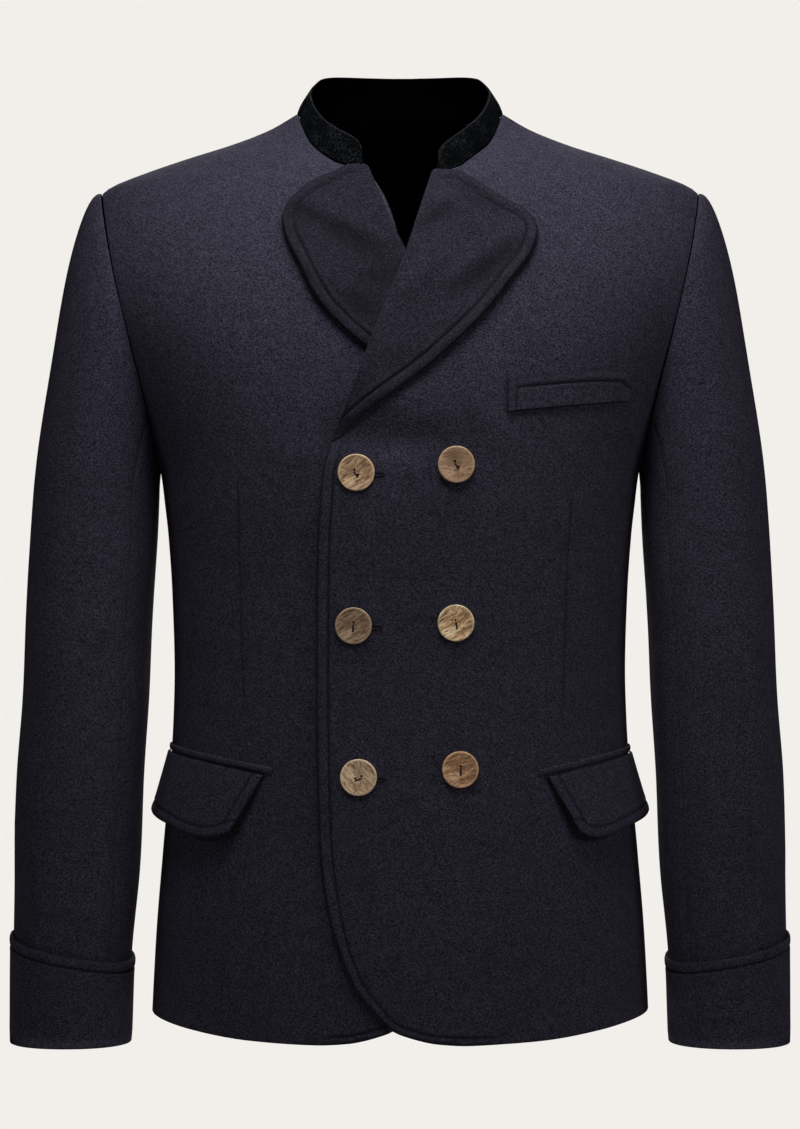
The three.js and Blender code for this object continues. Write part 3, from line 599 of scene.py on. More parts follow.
@dataclass
class SleeveForm:
    """The surface of one sleeve, made for the wearer's left, with its folds.

    The turn starts at the outer side and goes round the front. Folds end at turns in degrees, and heights.
    """

    torso: TorsoForm
    folds: tuple[Fold, ...]
    leave_top: tuple[float, float] = (62.0, 22.0)  # out and up from the seam at the shoulder
    leave_low: tuple[float, float] = (2.0, -18.0)  # the same under the arm
    leave_round: float = 20.0
    arrive_out: float = 24.0
    arrive_down: float = 1.05
    seam_gap: float = 0.15
    round_points: int = 22
    hang: float = 0.5

    def __post_init__(self) -> None:
        """Makes the curves through the sleeve's table."""
        rows = SLEEVE_SLICES
        self.outer, self.inner, self.depth, self.middle = (curve_of(rows, k) for k in range(1, 5))
        self.placed = []
        for fold in self.folds:
            ends = [self.bare(math.radians(turn), np.array(float(z))) for turn, z in (fold.start, fold.end)]
            self.placed.append((fold, *ends))

    def bare(self, turn: Array | float, z: Array, grow: float = 0.0) -> Array:
        """A point of a level slice of the arm.

        Args:
            turn: the angle round the arm.
            z: the height.
            grow: how far outside the sleeve it lies.

        Returns:
            The point or points.
        """
        half = (self.outer(z) - self.inner(z)) / 2 + grow
        power = 2 / SLEEVE_SQUARE
        x = (self.outer(z) + self.inner(z)) / 2 + half * signed_power(np.cos(turn), power)
        y = self.middle(z) - (self.depth(z) + grow) * signed_power(np.sin(turn), power)
        return np.stack(np.broadcast_arrays(x, y, z), axis=-1).astype(float)

    def armhole(self, position: Array) -> Array:
        """The armhole seam, for places counted round it from the shoulder and down the front.

        Args:
            position: the places on it.

        Returns:
            The seam's points.
        """
        half = self.round_points / 2
        down = np.minimum(position, 2 * half - position) / half
        z = mix(SHOULDER_Z, ARMPIT_Z, (1 - np.cos(np.pi * down)) / 2)
        behind = position > half
        torso = self.torso
        x = torso.armhole_x(z)
        angle = np.where(behind, np.pi - torso.angle_at(x, z, torso.back_square), torso.angle_at(x, z))
        return torso.cloth(angle, z)[0]

    def cap(self, position: Array, t: Array) -> Array:
        """A point of the sleeve head, which leaves the armhole outwards and arrives going straight down.

        Args:
            position: places round the armhole.
            t: the share of the way from the armhole to the arm.

        Returns:
            The points.
        """
        turn = 2 * np.pi * position / self.round_points
        end = self.bare(turn, np.full_like(turn, SLEEVE_START_Z))
        seam = self.armhole(position)
        reach = np.linalg.norm(seam - end, axis=-1)
        low = (1 - np.cos(turn)) / 2
        out = mix(self.leave_top[0], self.leave_low[0], low**0.8)
        rise = mix(self.leave_top[1], self.leave_low[1], low**0.5)
        leave = np.stack([out, -self.leave_round * np.sin(turn), rise], -1)
        arrive = np.stack([mix(self.arrive_out, 0, low), 0 * low, -reach * self.arrive_down], -1)
        start = seam + unit(leave) * self.seam_gap
        t = t[..., None]
        return (start * (1 + 2 * t) * (1 - t) ** 2 + leave * t * (1 - t) ** 2
                + end * t * t * (3 - 2 * t) + arrive * t * t * (t - 1))

    def relief(self, p: Array) -> Array:
        """How far the folds and waves of the sleeve's cloth move its bare surface out.

        Args:
            p: points on the bare sleeve.

        Returns:
            The distances.
        """
        total = sum(fold.relief(p, a, b) for fold, a, b in self.placed)
        x, y, z = p[..., 0], p[..., 1], p[..., 2]
        waves = np.sin(z / 37 + y / 26 + 0.4) * np.sin(x / 21 + z / 160)
        waves = waves + 0.5 * np.sin(z / 19 - y / 30 + x / 33)
        calm = ease((SHOULDER_Z + 4 - z) / 80)
        return calm * (total + self.hang * waves)


# ---------------------------------------------------------------- finishes


def toned(colour: Colour, factor: float, most: float = math.inf) -> Colour:
    """A colour made lighter or darker, held below a brightness."""
    return tuple(min(most, factor * c) for c in colour)


class NodeSheet:
    """A material's nodes, added and joined by short calls."""

    def __init__(self, name: str) -> None:
        """Starts a material with a Principled shader.

        Args:
            name: the material's name.
        """
        self.material = bpy.data.materials.new(name)
        self.material.use_nodes = True
        self.tree = self.material.node_tree
        self.shader = self.tree.nodes["Principled BSDF"]
        self.coordinates = self.tree.nodes.new("ShaderNodeTexCoord").outputs["Object"]

    def node(self, kind: str, **inputs: object) -> bpy.types.Node:
        """Adds a node and sets or joins its inputs.

        Args:
            kind: the node's type, without the word ShaderNode.
            inputs: values or sockets, by the input's name with _ for a space.

        Returns:
            The node.
        """
        made = self.tree.nodes.new("ShaderNode" + kind)
        for key, value in inputs.items():
            self.join(made.inputs[key.replace("_", " ")], value)
        return made

    def join(self, socket: Socket, value: object) -> None:
        """Sets a socket to a value, or joins another socket to it.

        Args:
            socket: the input that is set.
            value: a value or a socket.
        """
        if isinstance(value, Socket):
            self.tree.links.new(value, socket)
        else:
            socket.default_value = value

    def mapped(self, scale: Sequence[float], turn: float = 0.0) -> Socket:
        """The object's coordinates, turned about Y and stretched."""
        made = self.node("Mapping", Vector=self.coordinates, Rotation=(0.0, turn, 0.0), Scale=scale)
        return made.outputs[0]

    def noise(self, scale: float, detail: float = 2.0, vector: object = None, **more: float) -> Socket:
        """A noise pattern's grey value, on the object's coordinates unless told otherwise."""
        made = self.node("TexNoise", Scale=scale, Detail=detail, Vector=vector or self.coordinates, **more)
        return made.outputs["Fac"]

    def spread(
            self, value: object, low: float, high: float, to_low: float = 0.0, to_high: float = 1.0,
    ) -> Socket:
        """Stretches a value's range onto another and holds it there."""
        made = self.node("MapRange", Value=value, From_Min=low, From_Max=high, To_Min=to_low, To_Max=to_high)
        return made.outputs["Result"]

    def blend(self, share: object, a: object, b: object, mode: str = "MIX") -> Socket:
        """A colour between two others.

        Args:
            share: how much of the second, from 0 to 1.
            a: the first colour or socket.
            b: the second.
            mode: how they blend.

        Returns:
            The colour's socket.
        """
        made = self.tree.nodes.new("ShaderNodeMix")
        made.data_type, made.blend_type = "RGBA", mode
        self.join(made.inputs[0], share)
        for number, colour in ((6, a), (7, b)):
            plain = not isinstance(colour, Socket)
            self.join(made.inputs[number], (*colour, 1.0) if plain else colour)
        return made.outputs[2]

    def math(self, kind: str, a: object, b: object = 0.0) -> Socket:
        """One step of arithmetic on two values or sockets.

        Args:
            kind: the operation's name in Blender.
            a: the first value or socket.
            b: the second.

        Returns:
            The result's socket.
        """
        made = self.tree.nodes.new("ShaderNodeMath")
        made.operation = kind
        self.join(made.inputs[0], a)
        self.join(made.inputs[1], b)
        return made.outputs[0]

    def attribute(self, name: str) -> Socket:
        """A number kept on the mesh's points.

        Args:
            name: the number's name.

        Returns:
            Its socket.
        """
        made = self.tree.nodes.new("ShaderNodeAttribute")
        made.attribute_name = name
        return made.outputs["Fac"]

    def bump(self, height: object, strength: float, depth: float) -> None:
        """Gives the shader a fine relief."""
        made = self.node("Bump", Height=height, Strength=strength, Distance=depth)
        self.tree.links.new(made.outputs["Normal"], self.shader.inputs["Normal"])

    def shade(self, colour: object, **constants: object) -> Material:
        """Gives the shader its colour and its constants.

        Args:
            colour: a colour's socket.
            constants: values by the input's name with _ for a space.

        Returns:
            The finished material.
        """
        self.join(self.shader.inputs["Base Color"], colour)
        for key, value in constants.items():
            self.shader.inputs[key.replace("_", " ")].default_value = value
        return self.material


@dataclass(frozen=True)
class MeltonWool:
    """Fulled wool with a short felted nap, in which light fibres lie on a dark ground."""

    name: str = "melton_wool"
    depth: float = 1.0  # how light the whole cloth is
    ground: Colour = (0.0080, 0.0075, 0.0122)
    fibre: Colour = (0.056, 0.053, 0.081)
    shadow: Colour = (0.0035, 0.0033, 0.0048)
    warp_scale: float = 620.0
    weft_scale: float = 780.0
    lump_scale: float = 210.0
    cloud_scale: float = 110.0
    broad_scale: float = 9.0
    painted_shade_share: float = 0.8  # how much of the shadow's colour the painted shade takes, at stitches, edge turns, darts and hollows
    sheen: Colour = (0.72, 0.7, 0.95)

    def material(self) -> Material:
        """Builds the cloth's material.

        Returns:
            The material.
        """
        sheet = NodeSheet(self.name)
        warp, weft = sheet.mapped((1.0, 1.0, 1.8)), sheet.mapped((1.7, 1.7, 1.0))
        threads = [sheet.noise(scale, 3, vector, Roughness=0.75)
                   for scale, vector in ((self.warp_scale, warp), (self.weft_scale, weft))]
        nap = sheet.math("ADD", *threads)
        fleck = sheet.spread(nap, 0.87, 1.22)
        cloud = sheet.spread(sheet.noise(self.cloud_scale, 3), 0.3, 0.7, 0.84, 1.16)
        broad = sheet.spread(sheet.noise(self.broad_scale, 2), 0.3, 0.7, 0.93, 1.07)
        share = sheet.math("MULTIPLY", sheet.math("MULTIPLY", fleck, cloud), broad)
        cloth = sheet.blend(share, toned(self.ground, self.depth), toned(self.fibre, self.depth))
        # painted shade: the points' shade numbers blend the cloth towards the shadow colour at stitches, edge
        # turns, darts and hollows
        grooves = sheet.math("MULTIPLY", sheet.attribute("painted_shade"), self.painted_shade_share)
        painted_shade = sheet.blend(grooves, cloth, self.shadow)
        height = sheet.math("ADD", nap, sheet.math("MULTIPLY", sheet.noise(self.lump_scale, 2), 1.3))
        sheet.bump(height, strength=0.6, depth=0.0008)
        return sheet.shade(
            painted_shade, Roughness=0.95, Specular_IOR_Level=0.08, Sheen_Weight=0.012, Sheen_Roughness=0.5,
            Sheen_Tint=(*self.sheen, 1.0))


@dataclass(frozen=True)
class Lining:
    """The black inside of the jacket."""

    name: str = "black_lining"
    colour: Colour = (0.00025, 0.00025, 0.0003)
    twill_scale: float = 420.0
    twill_turn: float = 0.7

    def material(self) -> Material:
        """Builds the lining's material.

        Returns:
            The material.
        """
        sheet = NodeSheet(self.name)
        weave = sheet.noise(self.twill_scale, 1, sheet.mapped((1.0, 1.0, 6.0), self.twill_turn))
        colour = sheet.blend(sheet.spread(weave, 0.35, 0.65), self.colour, toned(self.colour, 2.2))
        sheet.bump(weave, strength=0.2, depth=0.0002)
        return sheet.shade(colour, Roughness=0.95, Specular_IOR_Level=0.0)


@dataclass(frozen=True)
class Velvet:
    """Black pile cloth whose flecks catch the light, with a painted highlight along its top edge."""

    name: str = "black_velvet"
    ground: Colour = (0.0006, 0.0008, 0.0010)
    fleck: Colour = (0.083, 0.096, 0.109)
    # painted highlight: the colour that the collar's top edge is lightened towards
    edge: Colour = (0.075, 0.082, 0.095)
    pile_scale: float = 950.0
    pile_turn: float = 0.5
    patch_scale: float = 90.0
    painted_highlight_share: float = 0.5
    sheen: Colour = (0.7, 0.8, 0.82)

    def material(self) -> Material:
        """Builds the pile's material.

        Returns:
            The material.
        """
        sheet = NodeSheet(self.name)
        pile = sheet.noise(self.pile_scale, 3, sheet.mapped((1.0, 1.0, 1.9), self.pile_turn), Roughness=0.8)
        fleck = sheet.spread(pile, 0.59, 0.66)
        patches = sheet.spread(sheet.noise(self.patch_scale, 2), 0.36, 0.64, 0.16, 1.0)
        colour = sheet.blend(sheet.math("MULTIPLY", fleck, patches), self.ground, self.fleck)
        # painted highlight along the collar's top edge
        painted_highlight = sheet.math("MULTIPLY", sheet.attribute("painted_highlight"), self.painted_highlight_share)
        sheet.bump(pile, strength=0.8, depth=0.0009)
        return sheet.shade(
            sheet.blend(painted_highlight, colour, self.edge), Roughness=0.95, Specular_IOR_Level=0.02, Sheen_Weight=0.005,
            Sheen_Roughness=0.3, Sheen_Tint=(*self.sheen, 1.0))


@dataclass(frozen=True)
class Thread:
    """Twisted sewing thread."""

    name: str = "dark_thread"
    colour: Colour = (0.011, 0.0105, 0.016)
    twist_scale: float = 1900.0
    twist_turn: float = 0.6

    def material(self) -> Material:
        """Builds the thread's material.

        Returns:
            The material.
        """
        sheet = NodeSheet(self.name)
        ply = sheet.noise(self.twist_scale, 1, sheet.mapped((1.0, 1.0, 3.0), self.twist_turn))
        colour = sheet.blend(sheet.spread(ply, 0.4, 0.6), self.colour, toned(self.colour, 1.9))
        sheet.bump(ply, strength=0.4, depth=0.0002)
        return sheet.shade(colour, Roughness=0.8, Specular_IOR_Level=0.05)


@dataclass(frozen=True)
class WoodGrain:
    """The face of one wooden button: the tone and direction of its grain."""

    light: Colour
    middle: Colour
    dark: Colour
    turn: float  # of the grain, in degrees from level, rising to the right
    streak: float  # width of a streak
    contrast: float
    patch: float = 0.0  # how much of a dark heartwood patch there is
    patch_shift: tuple[float, float] = (0.0, 0.0)
    grain_length: float = 12.0
    grain_depth: float = 6.0
    patch_radius: float = 8.5
    patch_core: float = 2.0
    pore_share: float = 0.85
    rim_share: float = 0.35

    def material(self, name: str, centre: Array) -> Material:
        """Builds the wood of one button.

        Args:
            name: the button's name.
            centre: the middle of its face.

        Returns:
            The material.
        """
        sheet = NodeSheet(name + "_wood")
        place = tuple(float(c) * MM for c in centre)
        turned = (0.0, -math.radians(self.turn), 0.0)
        stretch = tuple(size * MM for size in (self.grain_length, self.grain_depth, self.streak))
        along = sheet.node(
            "Mapping", Vector=sheet.coordinates, Location=place, Rotation=turned, Scale=stretch)
        along.vector_type = "TEXTURE"
        grain = sheet.noise(1.0, 5, along.outputs[0], Roughness=0.66, Distortion=0.55)
        reach = 0.3 / self.contrast
        bands = sheet.spread(grain, 0.5 - reach, 0.5 + reach)
        pores = sheet.spread(sheet.noise(3.1, 2, along.outputs[0]), 0.54, 0.64)
        colour = sheet.blend(sheet.spread(bands, 0.0, 0.55), self.dark, self.middle)
        colour = sheet.blend(sheet.spread(bands, 0.5, 1.0), colour, self.light)
        colour = sheet.blend(sheet.math("MULTIPLY", pores, self.pore_share), colour, self.dark)
        if self.patch:
            spot_place = (place[0] + self.patch_shift[0] * MM, place[1], place[2] + self.patch_shift[1] * MM)
            away = sheet.node("VectorMath", Vector=sheet.coordinates)
            away.operation = "DISTANCE"
            away.inputs[1].default_value = spot_place
            heart = sheet.spread(
                away.outputs["Value"], self.patch_radius * MM, self.patch_core * MM, 0.0, self.patch)
            colour = sheet.blend(heart, colour, self.dark)
        rim = sheet.math("MULTIPLY", sheet.attribute("rim"), self.rim_share)
        colour = sheet.blend(rim, colour, toned(self.light, 1.1, most=0.9))
        sheet.bump(sheet.math("ADD", bands, pores), strength=0.25, depth=0.0003)
        return sheet.shade(
            colour, Roughness=0.55, Specular_IOR_Level=0.35, Coat_Weight=0.08, Coat_Roughness=0.4)


# ---------------------------------------------------------------- pieces


def new_piece(
        name: str, points: Array, faces: Sequence[Sequence[int]], looks: Sequence[Material],
) -> Piece:
    """Makes a mesh object at the origin.

    Args:
        name: the piece's name.
        points: its points in millimetres.
        faces: the numbers of each face's points.
        looks: its materials.

    Returns:
        The object.
    """
    mesh = bpy.data.meshes.new(name)
    mesh.from_pydata((points * MM).tolist(), [], faces)
    for look in looks:
        mesh.materials.append(look)
    mesh.shade_smooth()
    piece = bpy.data.objects.new(name, mesh)
    bpy.context.scene.collection.objects.link(piece)
    return piece


def keep_numbers(piece: Piece, name: str, values: Array) -> None:
    """Keeps one number on each point of a piece, for its material."""
    layer = piece.data.attributes.new(name, "FLOAT", "POINT")
    layer.data.foreach_set("value", np.asarray(values, np.float32).ravel())


def declare(piece: Piece, slot: str, *nodes: str) -> Piece:
    """Seats a finished piece in the frame.

    Args:
        piece: the object.
        slot: not used.
        nodes: the solids that it stands for.

    Returns:
        The same object.
    """
    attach(piece, BODY)
    if nodes:
        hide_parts(*nodes)
    log.info("%s: %d faces", piece.name, len(piece.data.polygons))
    return piece


@dataclass
class Rods:
    """Thin rods of round rings, gathered for one mesh."""

    sides: int = 8
    points: list[Array] = field(default_factory=list)
    faces: list[list[int]] = field(default_factory=list)
    count: int = 0

    def add(self, spine: Array, across: Array, up: Array, radii: Array | float, closed: bool = False) -> None:
        """Adds a rod.

        Args:
            spine: the middle of each ring.
            across: the rings' first direction, one for all or one for each.
            up: their second direction.
            radii: the radius of all rings or of each.
            closed: whether the rod's end meets its start; if not, both ends get a face.
        """
        around = circle(self.sides)[None, :, None]
        spokes = np.cos(around) * np.atleast_2d(across)[:, None] + np.sin(around) * np.atleast_2d(up)[:, None]
        self.points.append((spine[:, None] + spokes * np.reshape(radii, (-1, 1, 1))).reshape(-1, 3))
        at = self.count + np.arange(len(spine) * self.sides).reshape(-1, self.sides)
        self.count += at.size
        walls = np.concatenate([at, at[:1]]) if closed else at
        turned = np.roll(walls, -1, 1)
        self.faces += np.stack([walls[:-1], turned[:-1], turned[1:], walls[1:]], -1).reshape(-1, 4).tolist()
        if not closed:
            self.faces += [at[0, ::-1].tolist(), at[-1].tolist()]


@dataclass
class ClothSheet:
    """A closed sheet of cloth from a grid of points, with rounded rims."""

    name: str
    outer: Array
    normals: Array
    thickness: float | Array
    rim: float = 0.9
    ring: bool = False
    # painted shade at stitches, edge turns, darts and hollows, kept on the points for the wool's material
    painted_shade: Array | None = None
    # painted highlight along the collar's top edge, kept on the points for the velvet's material
    painted_highlight: Array | None = None
    edge_shade: float = 0.9  # how dark the painted shade on the turn of the edge is
    rim_turns: tuple[int, ...] = (45, 90, 135)  # degrees round the rim, from the outer face to the inner one

    def _loops(self) -> list[tuple[Array, Array]]:
        """The borders of the grid as numbers of points, each with its neighbours inside.

        Returns:
            One pair for each border.
        """
        rows, columns = self.outer.shape[:2]
        at = np.arange(rows * columns).reshape(rows, columns)
        if self.ring:
            return [(at[0], at[1]), (at[-1], at[-2])]
        loop = np.concatenate([at[0, :-1], at[:-1, -1], at[-1, :0:-1], at[:0:-1, 0]])
        row, column = np.divmod(loop, columns)
        return [(loop, at[np.clip(row, 1, rows - 2), np.clip(column, 1, columns - 2)])]

    def _round_rims(self, top: Array, under: Array, normals: Array) -> tuple[list[Array], list[Array]]:
        """Draws the borders in and lays half a round between the two faces of the cloth.

        Args:
            top: the outer face's points, whose borders are moved.
            under: the inner face's points, whose borders are moved.
            normals: the outward directions.

        Returns:
            The rims' points, and their strips of faces.
        """
        extra, strips, total = [], [], 2 * len(top)
        for loop, near in self._loops():
            run = np.roll(top[loop], -1, 0) - np.roll(top[loop], 1, 0)
            out = unit(np.cross(run, normals[loop]))
            out *= np.sign(np.sum(out * (top[loop] - top[near]))) or 1.0
            for side in (top, under):
                side[loop] -= out * self.rim
            middle, half = (top[loop] + under[loop]) / 2, (top[loop] - under[loop]) / 2
            chain = [loop]
            for angle in np.radians(self.rim_turns):
                extra.append(middle + half * np.cos(angle) + out * self.rim * np.sin(angle))
                chain.append(total + np.arange(len(loop)))
                total += len(loop)
            chain.append(loop + len(top))
            strips += [np.stack([a, np.roll(a, -1), np.roll(b, -1), b], 1) for a, b in zip(chain, chain[1:])]
        return extra, strips

    def build(self, looks: Sequence[Material]) -> Piece:
        """Makes the sheet's object.

        Args:
            looks: the material outside and, if there is a second, inside.

        Returns:
            The object.
        """
        rows, columns = self.outer.shape[:2]
        count = rows * columns
        top = self.outer.reshape(-1, 3).astype(float).copy()
        normals = self.normals.reshape(-1, 3)
        under = top - normals * np.broadcast_to(self.thickness, (rows, columns)).reshape(-1, 1)
        extra, strips = self._round_rims(top, under, normals)
        points = np.concatenate([top, under, *extra])
        at = np.arange(count).reshape(rows, columns)
        if self.ring:
            at = np.concatenate([at, at[:, :1]], 1)
        outer = np.stack([at[:-1, :-1], at[1:, :-1], at[1:, 1:], at[:-1, 1:]], -1).reshape(-1, 4)
        inner = outer[:, ::-1] + count
        a, b, c, d = (points[outer[:, k]] for k in range(4))
        if np.sum(np.cross(c - a, d - b) * normals[outer[:, 0]]) < 0:
            outer, inner = outer[:, ::-1], inner[:, ::-1]
        rims = self._matching(np.concatenate(strips), outer)
        piece = new_piece(self.name, points, np.concatenate([outer, rims, inner]).tolist(), looks)
        if len(looks) > 1:
            bands = len(self.rim_turns) + 1
            lined = [np.full(len(strip), number % bands >= bands / 2) for number, strip in enumerate(strips)]
            inside = np.concatenate([np.zeros(len(outer)), *lined, np.ones(len(inner))])
            piece.data.polygons.foreach_set("material_index", inside.astype(np.int32))
        # the rims' own points take the painted shade of the edge's turn, and no painted highlight
        for key, values, edge in (("painted_shade", self.painted_shade, self.edge_shade), ("painted_highlight", self.painted_highlight, 0.0)):
            if values is not None:
                padded = np.full(len(points), edge)
                padded[:count] = values.ravel()
                keep_numbers(piece, key, padded)
        return piece

    @staticmethod
    def _matching(rims: Array, outer: Array) -> Array:
        """Turns the rim's faces so that they agree with the outer face along their shared border.

        Args:
            rims: the rim's faces, the first of them on the outer border.
            outer: the outer face's faces.

        Returns:
            The rim's faces.
        """
        directed = {(a, b) for quad in outer.tolist() for a, b in zip(quad, quad[1:] + quad[:1])}
        first = rims[0].tolist()
        return rims if (first[1], first[0]) in directed else rims[:, ::-1]


@dataclass(frozen=True)
class Cut:
    """The flat pattern piece that a sheet is cut from, in metres."""

    width: float
    length: float
    area: float
    held: str = "hung"

    def make(self, sheet: ClothSheet, node: str, looks: Sequence[Material], slot: str = "wool",
             rests_on: Sequence[str] = ()) -> Piece:
        """Makes a sheet of this cut and seats it in the frame.

        Args:
            sheet: the cloth.
            node: the solid that it stands for.
            looks: its materials.
            slot: not used.
            rests_on: not used.

        Returns:
            The object.
        """
        piece = declare(sheet.build(looks), slot, node)
        return piece


@dataclass
class Topstitching:
    """Rows of thread in the grooves along the topstitched edges."""

    look: Material
    pitch: float = 3.1
    length: float = 2.3
    thick: float = 0.5
    sunk: float = 0.35  # share of the thread's thickness that its ends lie in the cloth
    flatness: float = 0.8
    rings: tuple[tuple[float, float], ...] = ((-0.5, 0.35), (-0.3, 0.9), (0.0, 1.0), (0.3, 0.9), (0.5, 0.35))
    rows: list[tuple[Array, Array]] = field(default_factory=list)

    def add(self, path: Array, normals: Array) -> None:
        """Adds a row of stitches.

        Args:
            path: points along the groove.
            normals: the cloth's outward directions there.
        """
        self.rows.append((path, normals))

    def build(self, name: str) -> Piece:
        """Makes every row that was added into one object.

        Args:
            name: the object's name.

        Returns:
            The object.
        """
        rods = Rods(sides=6)
        shares, widths = np.array(self.rings).T
        lift = self.thick * (0.5 * widths - self.sunk)
        for path, normals in self.rows:
            along = run_along(path)
            value_at = lambda table, place: np.array([np.interp(place, along, table[:, i]) for i in range(3)])
            for centre in np.arange(self.pitch / 2, along[-1], self.pitch):
                start, end = (value_at(path, centre + k * self.length) for k in (-0.5, 0.5))
                up = unit(value_at(normals, centre))
                run = end - start
                spine = (start + end) / 2 + run * shares[:, None] + up * lift[:, None]
                rods.add(spine, unit(np.cross(run, up)), self.flatness * up, self.thick / 2 * widths)
        return declare(new_piece(name, np.concatenate(rods.points), rods.faces, [self.look]), "wool")


# ---------------------------------------------------------------- fronts


@dataclass
class FrontPanel:
    """One front of the jacket, from the shoulder seam and neckline down to the hem."""

    torso: TorsoForm
    side: Side
    edge_rows: tuple[tuple[float, float], ...]
    hem_shift: float
    dart: tuple[tuple[float, float], ...]  # height and place of the dart, from its top down
    lifted: bool  # whether it lies on the other front
    hem_stitch_end: float
    border: TurnedEdge = field(default_factory=TurnedEdge)
    band: tuple[float, ...] = (0, 2.3, 3.8, 5.4, 6.6, 7.5, 8.1, 8.7, 9.3, 10.2, 11.6, 13.6)
    dart_columns: tuple[float, ...] = (-2.4, -1.1, -0.5, 0, 0.5, 1.1, 2.4)
    dart_room: float = 6.0
    dart_width: float = 0.8
    dart_fade: float = 30.0
    dart_depth: float = 0.6
    # painted shade in the dart's crease
    dart_shade: float = 0.6
    cell: float = 4.2
    shoulder_rows: int = 18
    armhole_rows: int = 62
    front_columns: int = 36
    side_columns: int = 32
    full_row: float = 110.0  # a shorter row draws its dart columns together
    full_band: float = 60.0  # a shorter row draws its band together
    stitch_rows: tuple[float, ...] = (6, 8.8, 8.8, 6.4, 5.6)  # their distance, from the break to the hem
    stitch_fade: float = 14.0
    thread_lift: float = 0.12
    cut: Cut = Cut(0.36, 0.76, 0.205)

    def __post_init__(self) -> None:
        """Makes the curves of the edge and hem."""
        self.edge = curve_of(self.edge_rows)
        hem = curve_of(HEM)
        self.hem = lambda x: hem(np.asarray(x) + self.hem_shift)
        self.dart_x = curve_of(tuple(reversed(self.dart)))
        self.lapel_z = curve_of(tuple((x, z) for x, z in reversed(RIGHT_LAPEL["outer"][3:])))
        self.under_edge = curve_of(RIGHT_EDGE + RIGHT_NECK_END + NECKLINE)

    def lift(self, x: Array, z: Array) -> Array:
        """How far the panel is lifted by what lies under it.

        Args:
            x: places across, on the left side.
            z: their heights.

        Returns:
            The distances.
        """
        if not self.lifted:
            return np.zeros(np.broadcast(x, z).shape)
        past = lambda distance: ease((LIFT_MARGIN + LIFT_BLEND - distance) / LIFT_BLEND)
        return past(x + self.under_edge(z)) * (OVERLAP_LIFT + past(self.lapel_z(-x) - z) * LAPEL_LIFT)

    def levels(self) -> Array:
        """The heights of the rows of points, from the neck down.

        Returns:
            The heights.
        """
        shoulder = np.linspace(NECK_Z, SHOULDER_Z, self.shoulder_rows)
        turn = np.linspace(0, 1, self.armhole_rows)
        armhole = mix(SHOULDER_Z, ARMPIT_Z, mix(turn, (1 - np.cos(np.pi * turn)) / 2, 0.8))
        above = np.array(self.band[::-1])
        low = HEM_Z + above[0]
        skirt = np.linspace(ARMPIT_Z, low, round((ARMPIT_Z - low) / self.cell))
        return np.concatenate([shoulder, armhole[1:], skirt[1:], HEM_Z + above[1:]])

    def _stations(self, run: float, dart: float) -> Array:
        """The places of one row's columns, which draw together where the row is short.

        Args:
            run: the row's length.
            dart: where the dart crosses it.

        Returns:
            The distances from the edge.
        """
        small = min(1.0, run / self.full_row)
        band = np.array(self.band) * min(1.0, run / self.full_band)
        room = self.dart_room * small
        cluster = np.clip(dart, band[-1] + room, run - room) + np.array(self.dart_columns) * small
        first = np.linspace(band[-1], cluster[0], self.front_columns)[1:-1]
        last = np.linspace(cluster[-1], run, self.side_columns)[1:]
        return np.concatenate([band, first, cluster, last])

    def _dart_share(self, level: float) -> float:
        """Where the dart, or the line that goes on from it, crosses a row, as a share of the row.

        Args:
            level: the row's height.

        Returns:
            The share.
        """
        z = float(np.clip(level, self.dart[-1][0], self.dart[0][0]))
        start, end = self._ends(z)
        angle = float(self.torso.angle_at(self.dart_x(z), z))
        sample, run = self._runs(start, end, z)
        return float(np.interp(angle, sample, run) / run[-1])

    def _ends(self, level: float) -> tuple[float, float]:
        """The angles where a row starts and ends.

        Args:
            level: the row's height.

        Returns:
            The two angles.
        """
        edge_z = level + hem_share(level) * (HEM[0][1] - HEM_Z)
        start = float(self.torso.angle_at(self.edge(edge_z), level))
        return start, self.torso.outer_angle(level, self.torso.front_square)

    def _runs(self, start: float, end: float, level: float) -> tuple[Array, Array]:
        """Angles along a row, and how far each is from the row's start."""
        sample = np.linspace(start, end, 260)
        return sample, run_along(self.torso.point(sample, np.full_like(sample, level)))

    def cells(self) -> tuple[Array, Array]:
        """The panel's grid.

        Returns:
            Its angles and its heights.
        """
        angles, heights = [], []
        for level in self.levels():
            start, end = self._ends(level)
            sample, run = self._runs(start, end, level)
            angle = np.interp(self._stations(run[-1], self._dart_share(level) * run[-1]), run, sample)
            flat = self.torso.point(angle, np.full_like(angle, level))
            angles.append(angle)
            heights.append(level + hem_share(level) * (self.hem(flat[:, 0]) - HEM_Z))
        return np.array(angles), np.array(heights)

    def free_edge(self) -> tuple[Array, Array]:
        """The stitched edge from the break round the corner and along the hem.

        Returns:
            Its places as x and z, and the stitches' distance from it at each.
        """
        corner_x, corner_z = HEM[0]
        down = np.arange(BREAK_Z, corner_z, -1.0)
        along = np.arange(corner_x - self.hem_shift, self.hem_stitch_end, 0.8)
        x = np.concatenate([self.edge(down), along])
        z = np.concatenate([down, self.hem(along)])
        stations = (0, 12, len(down) - 60, len(down) + 10, len(x))
        stitch = np.interp(np.arange(len(x)), stations, self.stitch_rows)
        return np.stack([x, z], 1), stitch

